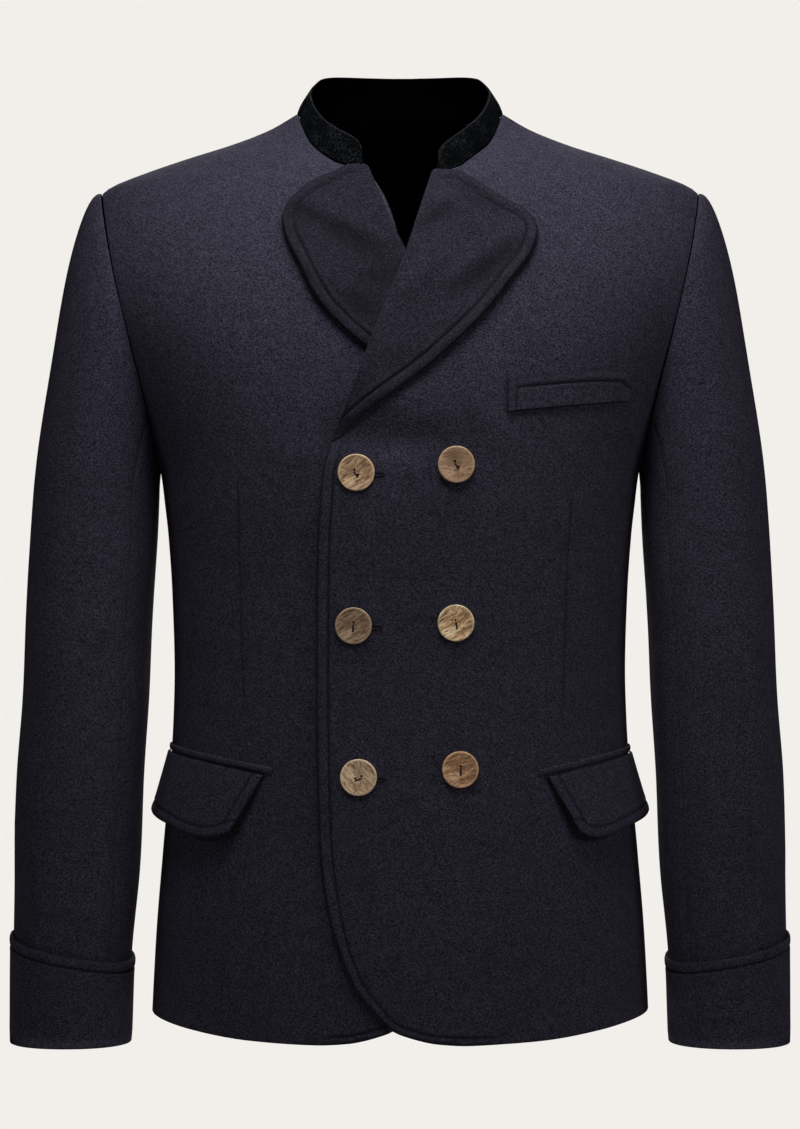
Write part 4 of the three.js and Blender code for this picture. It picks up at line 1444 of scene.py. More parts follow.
    def build(self, wool: Material, lining: Material, threads: Topstitching) -> Piece:
        """Makes the panel and its row of stitches.

        Args:
            wool: the outside.
            lining: the inside.
            threads: where the row of stitches goes.

        Returns:
            The object.
        """
        angles, heights = self.cells()
        bare = self.torso.point(angles, heights)
        path, stitch = self.free_edge()
        distance, index = nearest(bare, self.torso.at_x(path[:, 0], path[:, 1]))
        ends = ease(np.minimum(index, len(path) - 1 - index) / self.stitch_fade)
        relief = self.border.relief(distance, stitch[index]) * ends
        shade = self.border.shade(distance, stitch[index]) * ends
        inside = np.minimum(self.dart[0][0] - heights, heights - self.dart[-1][0])
        beside = np.abs(bare[..., 0] - self.dart_x(heights))
        pinch = ease(inside / self.dart_fade) * np.exp(-((beside / self.dart_width) ** 2))
        out = self.lift(bare[..., 0], bare[..., 2]) + relief - self.dart_depth * pinch
        outer, normals = self.torso.cloth(angles * self.side.value, heights, out)
        on_seam = angles[:, -1] >= math.pi / 2 - 1e-9
        outer[on_seam, -1, 1] = 0.0
        # painted shade in the stitch groove, the turn of the edge and the dart's crease
        sheet = ClothSheet("front_panel_" + self.side.word, outer, normals, CLOTH, rim=0.9,
                           painted_shade=np.maximum(shade, self.dart_shade * pinch))
        self._stitch(path, stitch, threads)
        return self.cut.make(sheet, "front_" + self.side.word, [wool, lining])

    def _stitch(self, path: Array, stitch: Array, threads: Topstitching) -> None:
        """Lays the row of stitches in its groove.

        Args:
            path: the free edge.
            stitch: the row's distance from it.
            threads: where the row goes.
        """
        run = unit(np.gradient(path, axis=0))
        inward = np.stack([-run[:, 1], run[:, 0]], 1)
        x, z = (path + inward * stitch[:, None])[8:-4].T
        out = self.lift(x, z) - self.border.groove + self.thread_lift
        threads.add(*self.torso.cloth_x(x, z, out, self.side))


# ---------------------------------------------------------------- backs


@dataclass
class BackPanel:
    """One half of the back, from the neck and shoulder seam down to the hem."""

    torso: TorsoForm
    side: Side
    levels: Array
    columns: int = 58
    seam_depth: float = 0.7
    seam_width: float = 2.4
    cut: Cut = Cut(0.30, 0.76, 0.172)

    def build(self, wool: Material, lining: Material) -> Piece:
        """Makes the panel.

        Args:
            wool: the outside.
            lining: the inside.

        Returns:
            The object.
        """
        shares = np.linspace(0, 1, self.columns + 1)
        angles, heights = [], []
        for level in self.levels:
            start = math.pi - self.torso.outer_angle(level, self.torso.back_square)
            angle = mix(start, math.pi, shares)
            angles.append(angle)
            heights.append(level - hem_share(level) * BACK_HEM_DROP * np.cos(angle) ** 2)
        angles, heights = np.array(angles), np.array(heights)
        from_middle = np.abs(self.torso.point(angles, heights)[..., 0])
        seam = -self.seam_depth * np.exp(-((from_middle / self.seam_width) ** 2))
        outer, normals = self.torso.cloth(angles * self.side.value, heights, seam)
        outer[:, -1, 0] = 0.0
        sheet = ClothSheet("back_panel_" + self.side.word, outer, normals, CLOTH, rim=0.5)
        return self.cut.make(sheet, "back_" + self.side.word, [wool, lining])


# ---------------------------------------------------------------- lapels


@dataclass
class Lapel:
    """A wide rounded lapel, which rolls over the front's edge and lies on the chest."""

    front: FrontPanel
    shape: dict[str, tuple[tuple[float, float], ...]]
    rolled_share: float
    ripples: tuple[Fold, ...]
    border: TurnedEdge = TurnedEdge(stitch=8.4, groove=0.8, padding=1.5, edge_width=1.3)
    rows: int = 120
    columns: int = 76
    roll_height: float = 2.6
    roll_radii: tuple[float, float] = (2.7, 0.5)  # of the turn at its top and at its end
    roll_turns: tuple[int, ...] = (168, 140, 112, 84, 56, 28)  # degrees, from the inner face out
    tip_lift: float = 2.6
    tip_sink: float = 0.82
    sink_start: float = 0.86
    tip_fade: tuple[float, float] = (1.35, 1.5)
    roll_clear: float = 5.0  # how far from the roll the row of stitches stays
    # painted shade in the ripples' hollows
    hollow_shade: float = 0.34
    thread_lift: float = 0.3
    cut: Cut = Cut(0.17, 0.24, 0.0152, "folded")

    def _ripples(self, x: Array, z: Array) -> list[Array]:
        """How far each ripple moves the places out.

        Args:
            x: places across.
            z: their heights.

        Returns:
            One grid of distances for each ripple.
        """
        torso = self.front.torso
        bare = torso.at_x(x, z)
        return [fold.relief(bare, *torso.fold_ends(fold)) for fold in self.ripples]

    def _heights(self, pairs: Array, s: Array, t: Array) -> tuple[Array, Array]:
        """Works out the lapel's relief.

        Args:
            pairs: its places as x and z.
            s: the rows' shares of its length.
            t: the columns' shares of its width.

        Returns:
            How far it lies out, and its painted shade at its stitches, at the turn of its edges and in its
            hollows.
        """
        x, z = pairs[..., 0], pairs[..., 1]
        s, t = s[:, None], t[None, :]
        torso = self.front.torso
        shares = np.linspace(0, 1, 320)
        edge = np.concatenate([path_of(self.shape[key])(shares) for key in ("top", "outer")])
        distance, _ = nearest(torso.at_x(x, z), torso.at_x(edge[:, 0], edge[:, 1]))
        near_roll, low = ease(t * 6), ease((1 - s) * 9)
        ripples = self._ripples(x, z)
        rolled = self.roll_height * (1 - t) ** 3 * np.maximum(0, 1 - s / self.rolled_share)
        tip = self.tip_lift * ease(t * 1.4 - 0.4) * ease(self.tip_fade[0] - s * self.tip_fade[1])
        # painted shade: the ripples' hollows are darkened, besides the stitch groove and the turn of the edge
        hollow = sum(np.minimum(0, ripple) for ripple in ripples)
        shade = np.maximum(
            self.border.shade(distance) * near_roll * low, np.clip(-self.hollow_shade * hollow, 0, 0.6))
        relief = self.border.relief(distance) * mix(0.35, 1, near_roll) * mix(0.4, 1, low)
        return rolled + tip + relief + sum(ripples) * near_roll, shade

    def _grid(self, s: Array, t: Array) -> Array:
        """The lapel's places as x and z."""
        top, outer, roll = (path_of(self.shape[key]) for key in ("top", "outer", "roll"))
        return patch(top, line(spot(roll, 1.0), spot(outer, 1.0)), roll, outer, s, t)

    def build(self, wool: Material, threads: Topstitching) -> Piece:
        """Makes the lapel with its roll, and its row of stitches.

        Args:
            wool: both faces.
            threads: where the row of stitches goes.

        Returns:
            The object.
        """
        front, word = self.front, self.front.side.word
        s, t = np.linspace(0, 1, self.rows), np.linspace(0, 1, self.columns)
        pairs = self._grid(s, t)
        x, z = pairs[..., 0], pairs[..., 1]
        height, shade = self._heights(pairs, s, t)
        sunk = 1 - self.tip_sink * ease((s[:, None] - self.sink_start) / (1 - self.sink_start))
        out = front.lift(x, z) + (LAPEL_LIFT + height) * sunk
        cloth = front.torso.cloth_x(x, z, out, front.side)
        outer, normals, shade = self._with_roll(*cloth, shade, s)
        sheet = ClothSheet("lapel_cloth_" + word, outer, normals, (LAPEL_CLOTH - 0.2) * sunk, rim=0.9,
                           painted_shade=shade)
        self._stitch(threads)
        return self.cut.make(sheet, "lapel_" + word, [wool], rests_on=["front_panel_" + word])

    def _with_roll(self, outer: Array, normals: Array, shade: Array, s: Array) -> tuple[Array, Array, Array]:
        """Adds the columns that turn round the front's edge to its inner face.

        Args:
            outer: the lapel's grid.
            normals: its outward directions.
            shade: its painted shade.
            s: the rows' shares of its length.

        Returns:
            The same three with the new columns.
        """
        up = normals[:, :1]
        inward = unit(outer[:, 2] - outer[:, 0])[:, None]
        inward = unit(inward - up * np.sum(inward * up, 2, keepdims=True))
        radius = mix(*self.roll_radii, ease(s * 2.2 - 1.2))[:, None, None]
        angle = np.radians(self.roll_turns)[None, :, None]
        turned = up * np.cos(angle) - inward * np.sin(angle)
        rolled = outer[:, :1] - up * radius + turned * radius
        added = ((0, 0), (len(self.roll_turns), 0))
        return np.concatenate([rolled, outer], 1), np.concatenate([turned, normals], 1), np.pad(shade, added)

    def _stitch(self, threads: Topstitching) -> None:
        """Lays the row of stitches in its groove, a fixed distance inside the top and outer edges.

        Args:
            threads: where the row goes.
        """
        shares = np.linspace(0, 1, 240)
        top, outer, roll = (path_of(self.shape[key])(shares) for key in ("top", "outer", "roll"))
        path = np.concatenate([top, outer[1:]])
        run = unit(np.gradient(path, axis=0))
        seat = path + np.stack([run[:, 1], -run[:, 0]], 1) * self.border.stitch
        flat = lambda pairs: np.pad(pairs, ((0, 0), (0, 1)))
        clear, from_roll = (nearest(flat(seat), flat(other))[0] for other in (path, roll))
        x, z = seat[(clear > self.border.stitch - 0.25) & (from_roll > self.roll_clear)].T
        s_guess = np.clip((z - path[0, 1]) / (path[-1, 1] - path[0, 1]), 0, 1)
        tip = self.tip_lift * ease(self.tip_fade[0] - s_guess * self.tip_fade[1]) * 0.75
        front = self.front
        lift = LAPEL_LIFT + tip + sum(self._ripples(x, z)) - self.border.groove + self.thread_lift
        threads.add(*front.torso.cloth_x(x, z, front.lift(x, z) + lift, front.side))


# ---------------------------------------------------------------- collar


@dataclass
class StandCollar:
    """The velvet stand collar, from one front end round the neck to the other."""

    torso: TorsoForm
    left_edge: Curve
    right_edge: Curve
    rows: int = 22
    back_columns: int = 49
    front_columns: int = 66
    belly: float = 1.6
    flare: float = 0.5
    foot_sink: float = 0.3
    left_drop: float = 2.0
    right_rise: float = 2.0
    # where the painted highlight on the collar's top edge starts, as a share of its height
    highlight_start: float = 0.93
    cut: Cut = Cut(0.40, 0.045, 0.0135, "stretched")

    def _half(self, edge: Curve, end_z: float, rise: float, side: Side) -> Array:
        """One half of the outer face.

        Args:
            edge: the neck edge of the front.
            end_z: the height where the collar ends on it.
            rise: how far the end's top is raised.
            side: which half.

        Returns:
            The points, column by column from the centre back, with rows from foot to top.
        """
        behind = np.linspace(math.pi, math.pi / 2, self.back_columns + 1)[:-1]
        back = self.torso.point(behind, np.full(self.back_columns, NECK_Z))
        z = np.linspace(NECK_Z, end_z, self.front_columns)
        foot = np.concatenate([back, self.torso.at_x(edge(z), z)])
        run = run_along(foot)
        share = run / run[-1]
        top = np.stack([curve_of(COLLAR_TOP, k)(share) for k in (1, 2, 3)], 1)
        top[:, 2] += rise * ease(share * 4 - 3)
        foot = foot - unit(top - foot) * self.foot_sink
        belly = unit(self.torso.normal(foot) * np.array([1, 1, 0]))[:, None]
        t = np.linspace(0, 1, self.rows)[None, :, None]
        flare = (self.flare * np.sin(share * 41) * np.sin(share * 17 + 1))[:, None, None] * t * t
        grid = mix(foot[:, None], top[:, None], t) + belly * (self.belly * np.sin(np.pi * t) + flare)
        return grid * np.array([side.value, 1, 1])

    def build(self, velvet: Material, lining: Material) -> Piece:
        """Makes the collar.

        Args:
            velvet: the outside and the rims.
            lining: the inside.

        Returns:
            The object.
        """
        left = self._half(self.left_edge, LEFT_NECK_END[0][0] + 1, -self.left_drop, Side.LEFT)
        right = self._half(self.right_edge, RIGHT_NECK_END[0][0] + 1, self.right_rise, Side.RIGHT)
        grid = np.concatenate([right[:0:-1], left]).transpose(1, 0, 2)
        rise = np.linspace(0, 1, self.rows)[:, None] * np.ones(grid.shape[1])
        # painted highlight: the top rows of the collar are lightened
        painted_highlight = np.clip((rise - self.highlight_start) / (1 - self.highlight_start), 0, 1)
        sheet = ClothSheet("collar_stand", grid, outward_normals(grid), COLLAR_CLOTH, rim=1.3, painted_highlight=painted_highlight)
        return self.cut.make(sheet, "collar", [velvet, lining], slot="velvet")


# ---------------------------------------------------------------- sleeves


@dataclass
class Sleeve:
    """A two-piece sleeve with its turned cuff band."""

    form: SleeveForm
    side: Side
    steps: int = 5  # columns in each of the armhole's steps
    cap_rows: int = 46
    arm_cell: float = 4.6
    under: tuple[int, int] = (8, 15)  # the armhole's steps where the under piece starts and ends
    seam_sinks: tuple[tuple[int, float], ...] = ((0, 0.9), (1, 0.15), (-1, 0.15))  # column, depth
    cuff_outer_z: float = -624.0
    cuff_inner_z: float = -643.0
    cuff_front_drop: float = 4.0
    cuff_bottom_z: float = -707.0
    cuff_columns: int = 132
    cuff_fixed: float = 17.0  # how far down the rows keep their distance from the band's top
    cuff_rows: tuple[float, ...] = (
        0, 2.2, 4, 5.8, 7, 7.7, 8.2, 8.7, 9.4, 10.8, 13, 17, 22, 28, 34, 40, 46, 52)
    thread_lift: float = 0.12
    border: TurnedEdge = TurnedEdge(stitch=8.2, groove=0.6, padding=0.45)
    cuts: tuple[Cut, Cut, Cut] = (Cut(0.25, 0.66, 0.135), Cut(0.14, 0.52, 0.055), Cut(0.30, 0.085, 0.0225))

    @property
    def _mirror(self) -> Array:
        """What the left sleeve's places are multiplied by for this side."""
        return np.array([self.side.value, 1, 1])

    def _round(self) -> tuple[Array, Array]:
        """The whole sleeve as a closed grid.

        Returns:
            Its points and its normals.
        """
        count = self.form.round_points * self.steps
        position = np.arange(count) / self.steps
        cap = [self.form.cap(position, np.full(count, t)) for t in np.linspace(0, 1, self.cap_rows)]
        heights = np.arange(SLEEVE_START_Z, SLEEVE_END_Z, -self.arm_cell)[1:]
        turn = 2 * np.pi * position / self.form.round_points
        arm = [self.form.bare(turn, np.full(count, z)) for z in [*heights, SLEEVE_END_Z]]
        grid = np.array([*cap, *arm])
        grid = grid + outward_normals(grid, ring=True) * self.form.relief(grid)[..., None]
        return grid, outward_normals(grid, ring=True)

    def build(self, wool: Material, lining: Material, threads: Topstitching) -> None:
        """Makes the sleeve's two pieces and its cuff.

        Args:
            wool: the outside.
            lining: the inside.
            threads: where the cuff's row of stitches goes.
        """
        grid, normals = self._round()
        count = grid.shape[1]
        first, last = (k * self.steps for k in self.under)
        self._open_seams(grid, (first, last))
        top, under = np.arange(last - count, first + 1) % count, np.arange(first, last + 1)
        for name, columns, cut in (("top", top, self.cuts[0]), ("under", under, self.cuts[1])):
            outer, facing = grid[:, columns] * self._mirror, normals[:, columns] * self._mirror
            sheet = ClothSheet(f"sleeve_{name}_cloth_{self.side.word}", outer, facing, SLEEVE_CLOTH, rim=0.45)
            cut.make(sheet, f"sleeve_{name}_{self.side.word}", [wool, lining])
        self._cuff(wool, threads)

    def _open_seams(self, grid: Array, seams: tuple[int, int]) -> None:
        """Sinks the cloth a little along the seams that join the two pieces.

        Args:
            grid: the sleeve's points, which are moved.
            seams: the seams' columns.
        """
        count = grid.shape[1]
        centre = grid.mean(axis=1, keepdims=True)
        for seam in seams:
            for step, depth in self.seam_sinks:
                column = (seam + step) % count
                grid[:, column] -= unit(grid[:, column] - centre[:, 0]) * depth

    def _cuff(self, wool: Material, threads: Topstitching) -> None:
        """Makes the cuff band and its row of stitches.

        Args:
            wool: the band's cloth.
            threads: where the row of stitches goes.
        """
        turn = 2 * np.pi * np.arange(self.cuff_columns) / self.cuff_columns
        slant = mix(self.cuff_inner_z, self.cuff_outer_z, (1 + np.cos(turn)) / 2)
        slant = slant - self.cuff_front_drop * np.sin(turn)
        down = np.array(self.cuff_rows)[:, None]
        share = (down - self.cuff_fixed) / (self.cuff_rows[-1] - self.cuff_fixed)
        fall = np.where(down < self.cuff_fixed, down, mix(self.cuff_fixed, slant - self.cuff_bottom_z, share))
        z = slant - fall
        bare = self.form.bare(np.broadcast_to(turn, z.shape), z, TRIM_LIFT)
        normals = outward_normals(bare, ring=True)
        ends = ease((z - self.cuff_bottom_z) / 6)
        relief = self.border.relief(fall) + self.form.relief(bare) - 0.35 * (1 - ends)
        outer = (bare + normals * relief[..., None]) * self._mirror
        normals = normals * self._mirror
        # painted shade in the groove of the cuff's stitches and on its rims
        sheet = ClothSheet("cuff_band_" + self.side.word, outer, normals, TRIM_CLOTH, rim=0.85,
                           ring=True, painted_shade=self.border.line(fall))
        self.cuts[2].make(sheet, "cuff_" + self.side.word, [wool])
        row = self.cuff_rows.index(self.border.stitch)
        seat = outer[row] + normals[row] * self.thread_lift
        threads.add(*(np.concatenate([around, around[:1]]) for around in (seat, normals[row])))


# ---------------------------------------------------------------- pockets


@dataclass
class HipPocket:
    """A slanted hip pocket: the flap that stands proud and the narrow jet above it."""

    torso: TorsoForm
    side: Side
    front: float
    top_front: float
    top_side: float
    corner: float
    corner_z: float
    rows: int = 46
    columns: int = 108
    side_angle: float = 88.0
    lowest_angle: float = 49.0
    lowest_z: float = -547.6
    side_z: float = -533.5
    front_stand: float = 5.5
    side_stand: float = 9.5
    edge_round: float = 0.5
    crown: float = 0.8
    jet_rows: int = 9
    jet_columns: int = 90
    jet_height: float = 5.2
    jet_overhang: float = 2.2
    jet_clear: float = 0.6
    jet_stand: float = 0.5
    jet_crown: float = 0.55
    thread_lift: float = 0.12
    border: TurnedEdge = TurnedEdge(stitch=8.4, groove=0.3, padding=0.45)
    cuts: tuple[Cut, Cut] = (Cut(0.16, 0.057, 0.0069), Cut(0.155, 0.01, 0.00105, "laid"))

    def build(self, wool: Material, threads: Topstitching) -> None:
        """Makes the flap, the jet and the flap's row of stitches.

        Args:
            wool: the cloth.
            threads: where the row of stitches goes.
        """
        low = path_of((
            (self.corner, self.corner_z), (mix(self.corner, self.lowest_angle, 0.5), self.lowest_z + 1.2),
            (self.lowest_angle, self.lowest_z),
            (mix(self.lowest_angle, self.side_angle, 0.5), mix(self.lowest_z, self.side_z, 0.5) + 1),
            (self.side_angle, self.side_z)))
        top_front, top_side = (self.front, self.top_front), (self.side_angle, self.top_side)
        s, t = np.linspace(0, 1, self.rows), np.linspace(0, 1, self.columns)
        sides = line(top_front, spot(low, 0.0)), line(top_side, spot(low, 1.0))
        pairs = patch(self._slanted(top_front, top_side), low, *sides, s, t)
        angle, z = np.radians(pairs[..., 0]), pairs[..., 1]
        s, t = s[:, None], t[None, :]
        bare = self.torso.point(angle, z)
        distance, _ = nearest(bare, fine_path(np.concatenate([bare[:, 0], bare[-1], bare[::-1, -1]])))
        above, _ = nearest(bare, fine_path(bare[-1]))
        stand = mix(self.front_stand, self.side_stand, t**2) * s
        turned = -self.edge_round * np.exp(-((distance / 1.6) ** 2))
        crown = self.crown * np.sin(np.pi * s) * np.sin(np.pi * np.clip(t * 1.1, 0, 1))
        out = TRIM_LIFT + stand + self.border.relief(above) + turned + crown
        outer, normals = self.torso.cloth(angle * self.side.value, z, out)
        # painted shade in the flap's stitch groove and at the turn of its edges
        shade = np.maximum(self.border.line(above), self.border.shade(distance))
        word = self.side.word
        flap = ClothSheet("flap_cloth_" + word, outer, normals, TRIM_CLOTH, rim=0.9, painted_shade=shade)
        self.cuts[0].make(flap, "flap_" + word, [wool], rests_on=["front_panel_" + word])
        rows = np.argmin(np.abs(above - self.border.stitch), axis=0)
        seat, facing = (grid[rows, np.arange(len(rows))][5:-3] for grid in (outer, normals))
        threads.add(seat + facing * self.thread_lift, facing)
        self._jet(wool)

    def _slanted(self, start: tuple[float, float], end: tuple[float, float]) -> Callable[[Array], Array]:
        """A path that is straight as seen from in front.

        Args:
            start: its first angle, in degrees, and height.
            end: its last angle and height.

        Returns:
            A function from a share to an angle and a height.
        """
        across = lambda angle: self.torso.point(np.radians(angle), np.full_like(angle, start[1]))[..., 0]
        ends = across(np.array([start[0], end[0]]))

        def path(share: Array) -> Array:
            """The angle and the height at a share of the angle."""
            angle = mix(start[0], end[0], np.asarray(share, float))
            rise = (across(angle) - ends[0]) / (ends[1] - ends[0])
            return np.stack([angle, mix(start[1], end[1], rise)], -1)

        return path

    def _jet(self, wool: Material) -> None:
        """Makes the narrow folded strip above the flap.

        Args:
            wool: the cloth.
        """
        start = self.front - self.jet_overhang
        s, t = np.linspace(0, 1, self.jet_rows), np.linspace(0, 1, self.jet_columns)
        top, bottom = (
            self._slanted((start, self.top_front + rise), (self.side_angle, self.top_side + rise))
            for rise in (self.jet_height + self.jet_clear, self.jet_clear))
        pairs = patch(top, bottom, *(line(spot(top, k), spot(bottom, k)) for k in (0.0, 1.0)), s, t)
        out = LAY_GAP + self.jet_stand + self.jet_crown * np.sin(np.pi * s[:, None]) * np.ones(len(t))
        cloth = self.torso.cloth(np.radians(pairs[..., 0]) * self.side.value, pairs[..., 1], out)
        word = self.side.word
        jet = ClothSheet("jet_cloth_" + word, *cloth, TRIM_CLOTH - 0.4, rim=0.7)
        self.cuts[1].make(jet, "pocket_jet_" + word, [wool], rests_on=["front_panel_" + word])


@dataclass
class ChestPocket:
    """The slanted welt pocket on the left chest."""

    front: FrontPanel
    rows: int = 30
    columns: int = 96
    left: float = 78.5
    right: float = 170.0
    left_top: float = -207.0
    right_top: float = -199.0
    left_bottom: float = -231.8
    right_bottom: float = -221.4
    foot_slant: float = 1.0  # how far the left edge's foot lies further left
    corner: tuple[tuple[float, float], ...] = ((-9.0, -0.9), (-2.6, -2.0), (0.0, -5.6))  # from the tip
    thread_lift: float = 0.2
    border: TurnedEdge = TurnedEdge(stitch=7.4, groove=0.6, padding=0.6, edge_width=1.5)
    cut: Cut = Cut(0.11, 0.03, 0.0026, "laid")

    def build(self, wool: Material, threads: Topstitching) -> Piece:
        """Makes the welt and its row of stitches.

        Args:
            wool: the cloth.
            threads: where the row of stitches goes.

        Returns:
            The object.
        """
        high, tip = (self.left, self.left_top), (self.right, self.right_top)
        low, heel = (self.left - self.foot_slant, self.left_bottom), (self.right, self.right_bottom)
        rounding = [(tip[0] + x, tip[1] + z) for x, z in self.corner]
        s, t = np.linspace(0, 1, self.rows), np.linspace(0, 1, self.columns)
        top = path_of((high, *rounding))
        pairs = patch(top, line(low, heel), line(high, low), line(rounding[-1], heel), s, t)
        x, z = pairs[..., 0], pairs[..., 1]
        torso = self.front.torso
        bare = torso.at_x(x, z)
        distance, _ = nearest(bare, fine_path(np.concatenate([bare[::-1, 0], bare[0]])))
        out = self.front.lift(x, z) + TRIM_LIFT + self.border.relief(distance)
        cloth = torso.cloth_x(x, z, out)
        # painted shade in the groove of the welt's stitches and all round its edge, where the pocket's mouth
        # and raised edge fall in shade
        sheet = ClothSheet("welt_cloth", *cloth, TRIM_CLOTH, rim=0.8, painted_shade=self.border.shade(distance))
        self._stitch(threads)
        return self.cut.make(sheet, "chest_welt", [wool], rests_on=["front_panel_left"])

    def _stitch(self, threads: Topstitching) -> None:
        """Lays the row of stitches up the left edge and along the top.

        Args:
            threads: where the row goes.
        """
        start, top = self.left + self.border.stitch, self.left_top - self.border.stitch
        across = np.linspace(start, self.right - 3, 90)[1:]
        slope = (self.right_top - self.left_top) / (self.right - self.left)
        x = np.concatenate([np.full(20, start), across])
        z = np.concatenate([np.linspace(self.left_bottom + 2, top, 20), top + slope * (across - self.left)])
        lift = self.front.lift(x, z) + TRIM_LIFT - self.border.groove + self.thread_lift
        threads.add(*self.front.torso.cloth_x(x, z, lift))


# ---------------------------------------------------------------- buttons


@dataclass(frozen=True)
class ButtonPlace:
    """Where one button is sewn, the turn of its holes, and its wood."""

    name: str
    x: float
    z: float
    turn: float
    wood: WoodGrain


@dataclass
class Buttons:
    """The six wooden two-hole buttons, sewn on with dark thread."""

    front: FrontPanel
    places: tuple[ButtonPlace, ...]
    radius: float = 13.5
    thick: float = 3.4
    sides: int = 72
    bevel: float = 0.8
    lip: float = 1.5
    dish: tuple[float, float] = (0.9, -0.28)  # width and depth of the step inside the lip
    hole_radius: float = 0.85
    hole_sides: int = 24
    hole_spacing: float = 4.5
    sink_wide: float = 0.25
    sink_deep: float = 0.75
    stand: float = 0.6
    rim_width: float = 2.0
    strand_shifts: tuple[float, float] = (-0.28, 0.28)
    strand_reach: float = 0.3  # past the holes' middles
    strand_foot: float = 0.9  # below the button's face
    strand_rise: float = 0.95
    strand_points: int = 15
    thread_thick: float = 0.72

    def build(self, thread: Material) -> None:
        """Makes every button with its thread.

        Args:
            thread: the sewing thread's material.
        """
        blank = self._blank()
        for place in self.places:
            self._sew(place, blank, thread)
        bpy.data.objects.remove(blank, do_unlink=True)

    @staticmethod
    def _cylinder(radius: float, low: float, high: float, x: float, vertices: int) -> Piece:
        """An upright cylinder between two heights.

        Args:
            radius: its radius.
            low: its foot.
            high: its top.
            x: its middle across.
            vertices: how many sides it has.

        Returns:
            The object.
        """
        bpy.ops.object.select_all(action="DESELECT")
        bpy.ops.mesh.primitive_cylinder_add(
            vertices=vertices, radius=radius * MM, depth=(high - low) * MM,
            location=(x * MM, 0, (low + high) / 2 * MM))
        return bpy.context.object

    def _blank(self) -> Piece:
        """A button lying flat at the origin, with a lip round its face and two countersunk holes.

        Returns:
            The object that every button is copied from.
        """
        blank = self._cylinder(self.radius, 0.0, self.thick, 0.0, self.sides)
        blank.name = "button_blank"
        bpy.ops.object.mode_set(mode="EDIT")
        bpy.ops.mesh.select_mode(type="FACE")
        self._select_faces(blank, lambda face: face.normal.z > 0.9)
        bpy.ops.mesh.inset(thickness=self.lip * MM)
        bpy.ops.mesh.inset(thickness=self.dish[0] * MM, depth=self.dish[1] * MM)
        bpy.ops.object.mode_set(mode="OBJECT")
        rounded = blank.modifiers.new("round", "BEVEL")
        rounded.width, rounded.segments = self.bevel * MM, 3
        rounded.limit_method, rounded.angle_limit = "ANGLE", math.radians(50)
        bpy.ops.object.modifier_apply(modifier=rounded.name)
        for sign in (-1, 1):
            self._drill(blank, sign * self.hole_spacing / 2)
        return blank

    @staticmethod
    def _select_faces(piece: Piece, wanted: Callable[[bpy.types.MeshPolygon], bool]) -> None:
        """Selects, in edit mode, the faces that a test accepts.

        Args:
            piece: the object.
            wanted: the test.
        """
        bpy.ops.object.mode_set(mode="OBJECT")
        for group in (piece.data.vertices, piece.data.edges, piece.data.polygons):
            group.foreach_set("select", [False] * len(group))
        for face in piece.data.polygons:
            face.select = wanted(face)
        bpy.ops.object.mode_set(mode="EDIT")

    def _drill(self, blank: Piece, x: float) -> None:
        """Cuts one hole, wider at its mouth.

        Args:
            blank: the button, which is changed.
            x: the hole's middle.
        """
        mouth = (self.hole_radius + self.sink_wide, self.thick - self.sink_deep)
        for radius, low in ((self.hole_radius, -1.0), mouth):
            drill = self._cylinder(radius, low, 6.0, x, self.hole_sides)
            bpy.context.view_layer.objects.active = blank
            cut = blank.modifiers.new("hole", "BOOLEAN")
            cut.operation, cut.object, cut.solver = "DIFFERENCE", drill, "EXACT"
            bpy.ops.object.modifier_apply(modifier=cut.name)
            bpy.data.objects.remove(drill, do_unlink=True)

    def _sew(self, place: ButtonPlace, blank: Piece, thread: Material) -> None:
        """Sets a copy of the blank on the cloth, with its own wood, and its thread.

        Args:
            place: where it is sewn.
            blank: what it is copied from.
            thread: the sewing thread's material.
        """
        torso, front = self.front.torso, self.front
        x, z = np.array(place.x), np.array(place.z)
        seat = torso.at_x(x, z)
        normal = torso.normal(seat)
        level = unit(np.array([1.0, 0, 0]) - normal * normal[0])
        up = np.cross(normal, level)
        turn = math.radians(place.turn)
        along = level * math.cos(turn) + up * math.sin(turn)
        own, above = float(front.lift(x, z)), float(front.lift(x, z + self.radius))
        lift = mix(own, max(own, above), 0.6)
        origin = seat + normal * (lift + self.stand + max(0.0, float(torso.relief(seat))))
        basis = np.stack([along, np.cross(normal, along), normal])
        piece = blank.copy()
        piece.data = blank.data.copy()
        piece.name = "wooden_" + place.name
        bpy.context.scene.collection.objects.link(piece)
        flat = np.array([v.co[:] for v in piece.data.vertices]) / MM
        piece.data.vertices.foreach_set("co", ((flat @ basis + origin) * MM).ravel())
        from_rim = np.hypot(flat[:, 0], flat[:, 1]) - self.radius + self.rim_width
        keep_numbers(piece, "rim", ease(from_rim / 1.2))
        piece.data.materials.clear()
        piece.data.materials.append(place.wood.material(place.name, origin + normal * self.thick))
        piece.data.update()
        self._smooth(piece)
        declare(piece, "wood", place.name)
        self._thread(place, origin, basis, thread)

    @staticmethod
    def _smooth(piece: Piece) -> None:
        """Shades the button smooth, with sharp turns left sharp.

        Args:
            piece: the button.
        """
        bpy.ops.object.select_all(action="DESELECT")
        piece.select_set(True)
        bpy.context.view_layer.objects.active = piece
        bpy.ops.object.shade_smooth_by_angle(angle=math.radians(35))

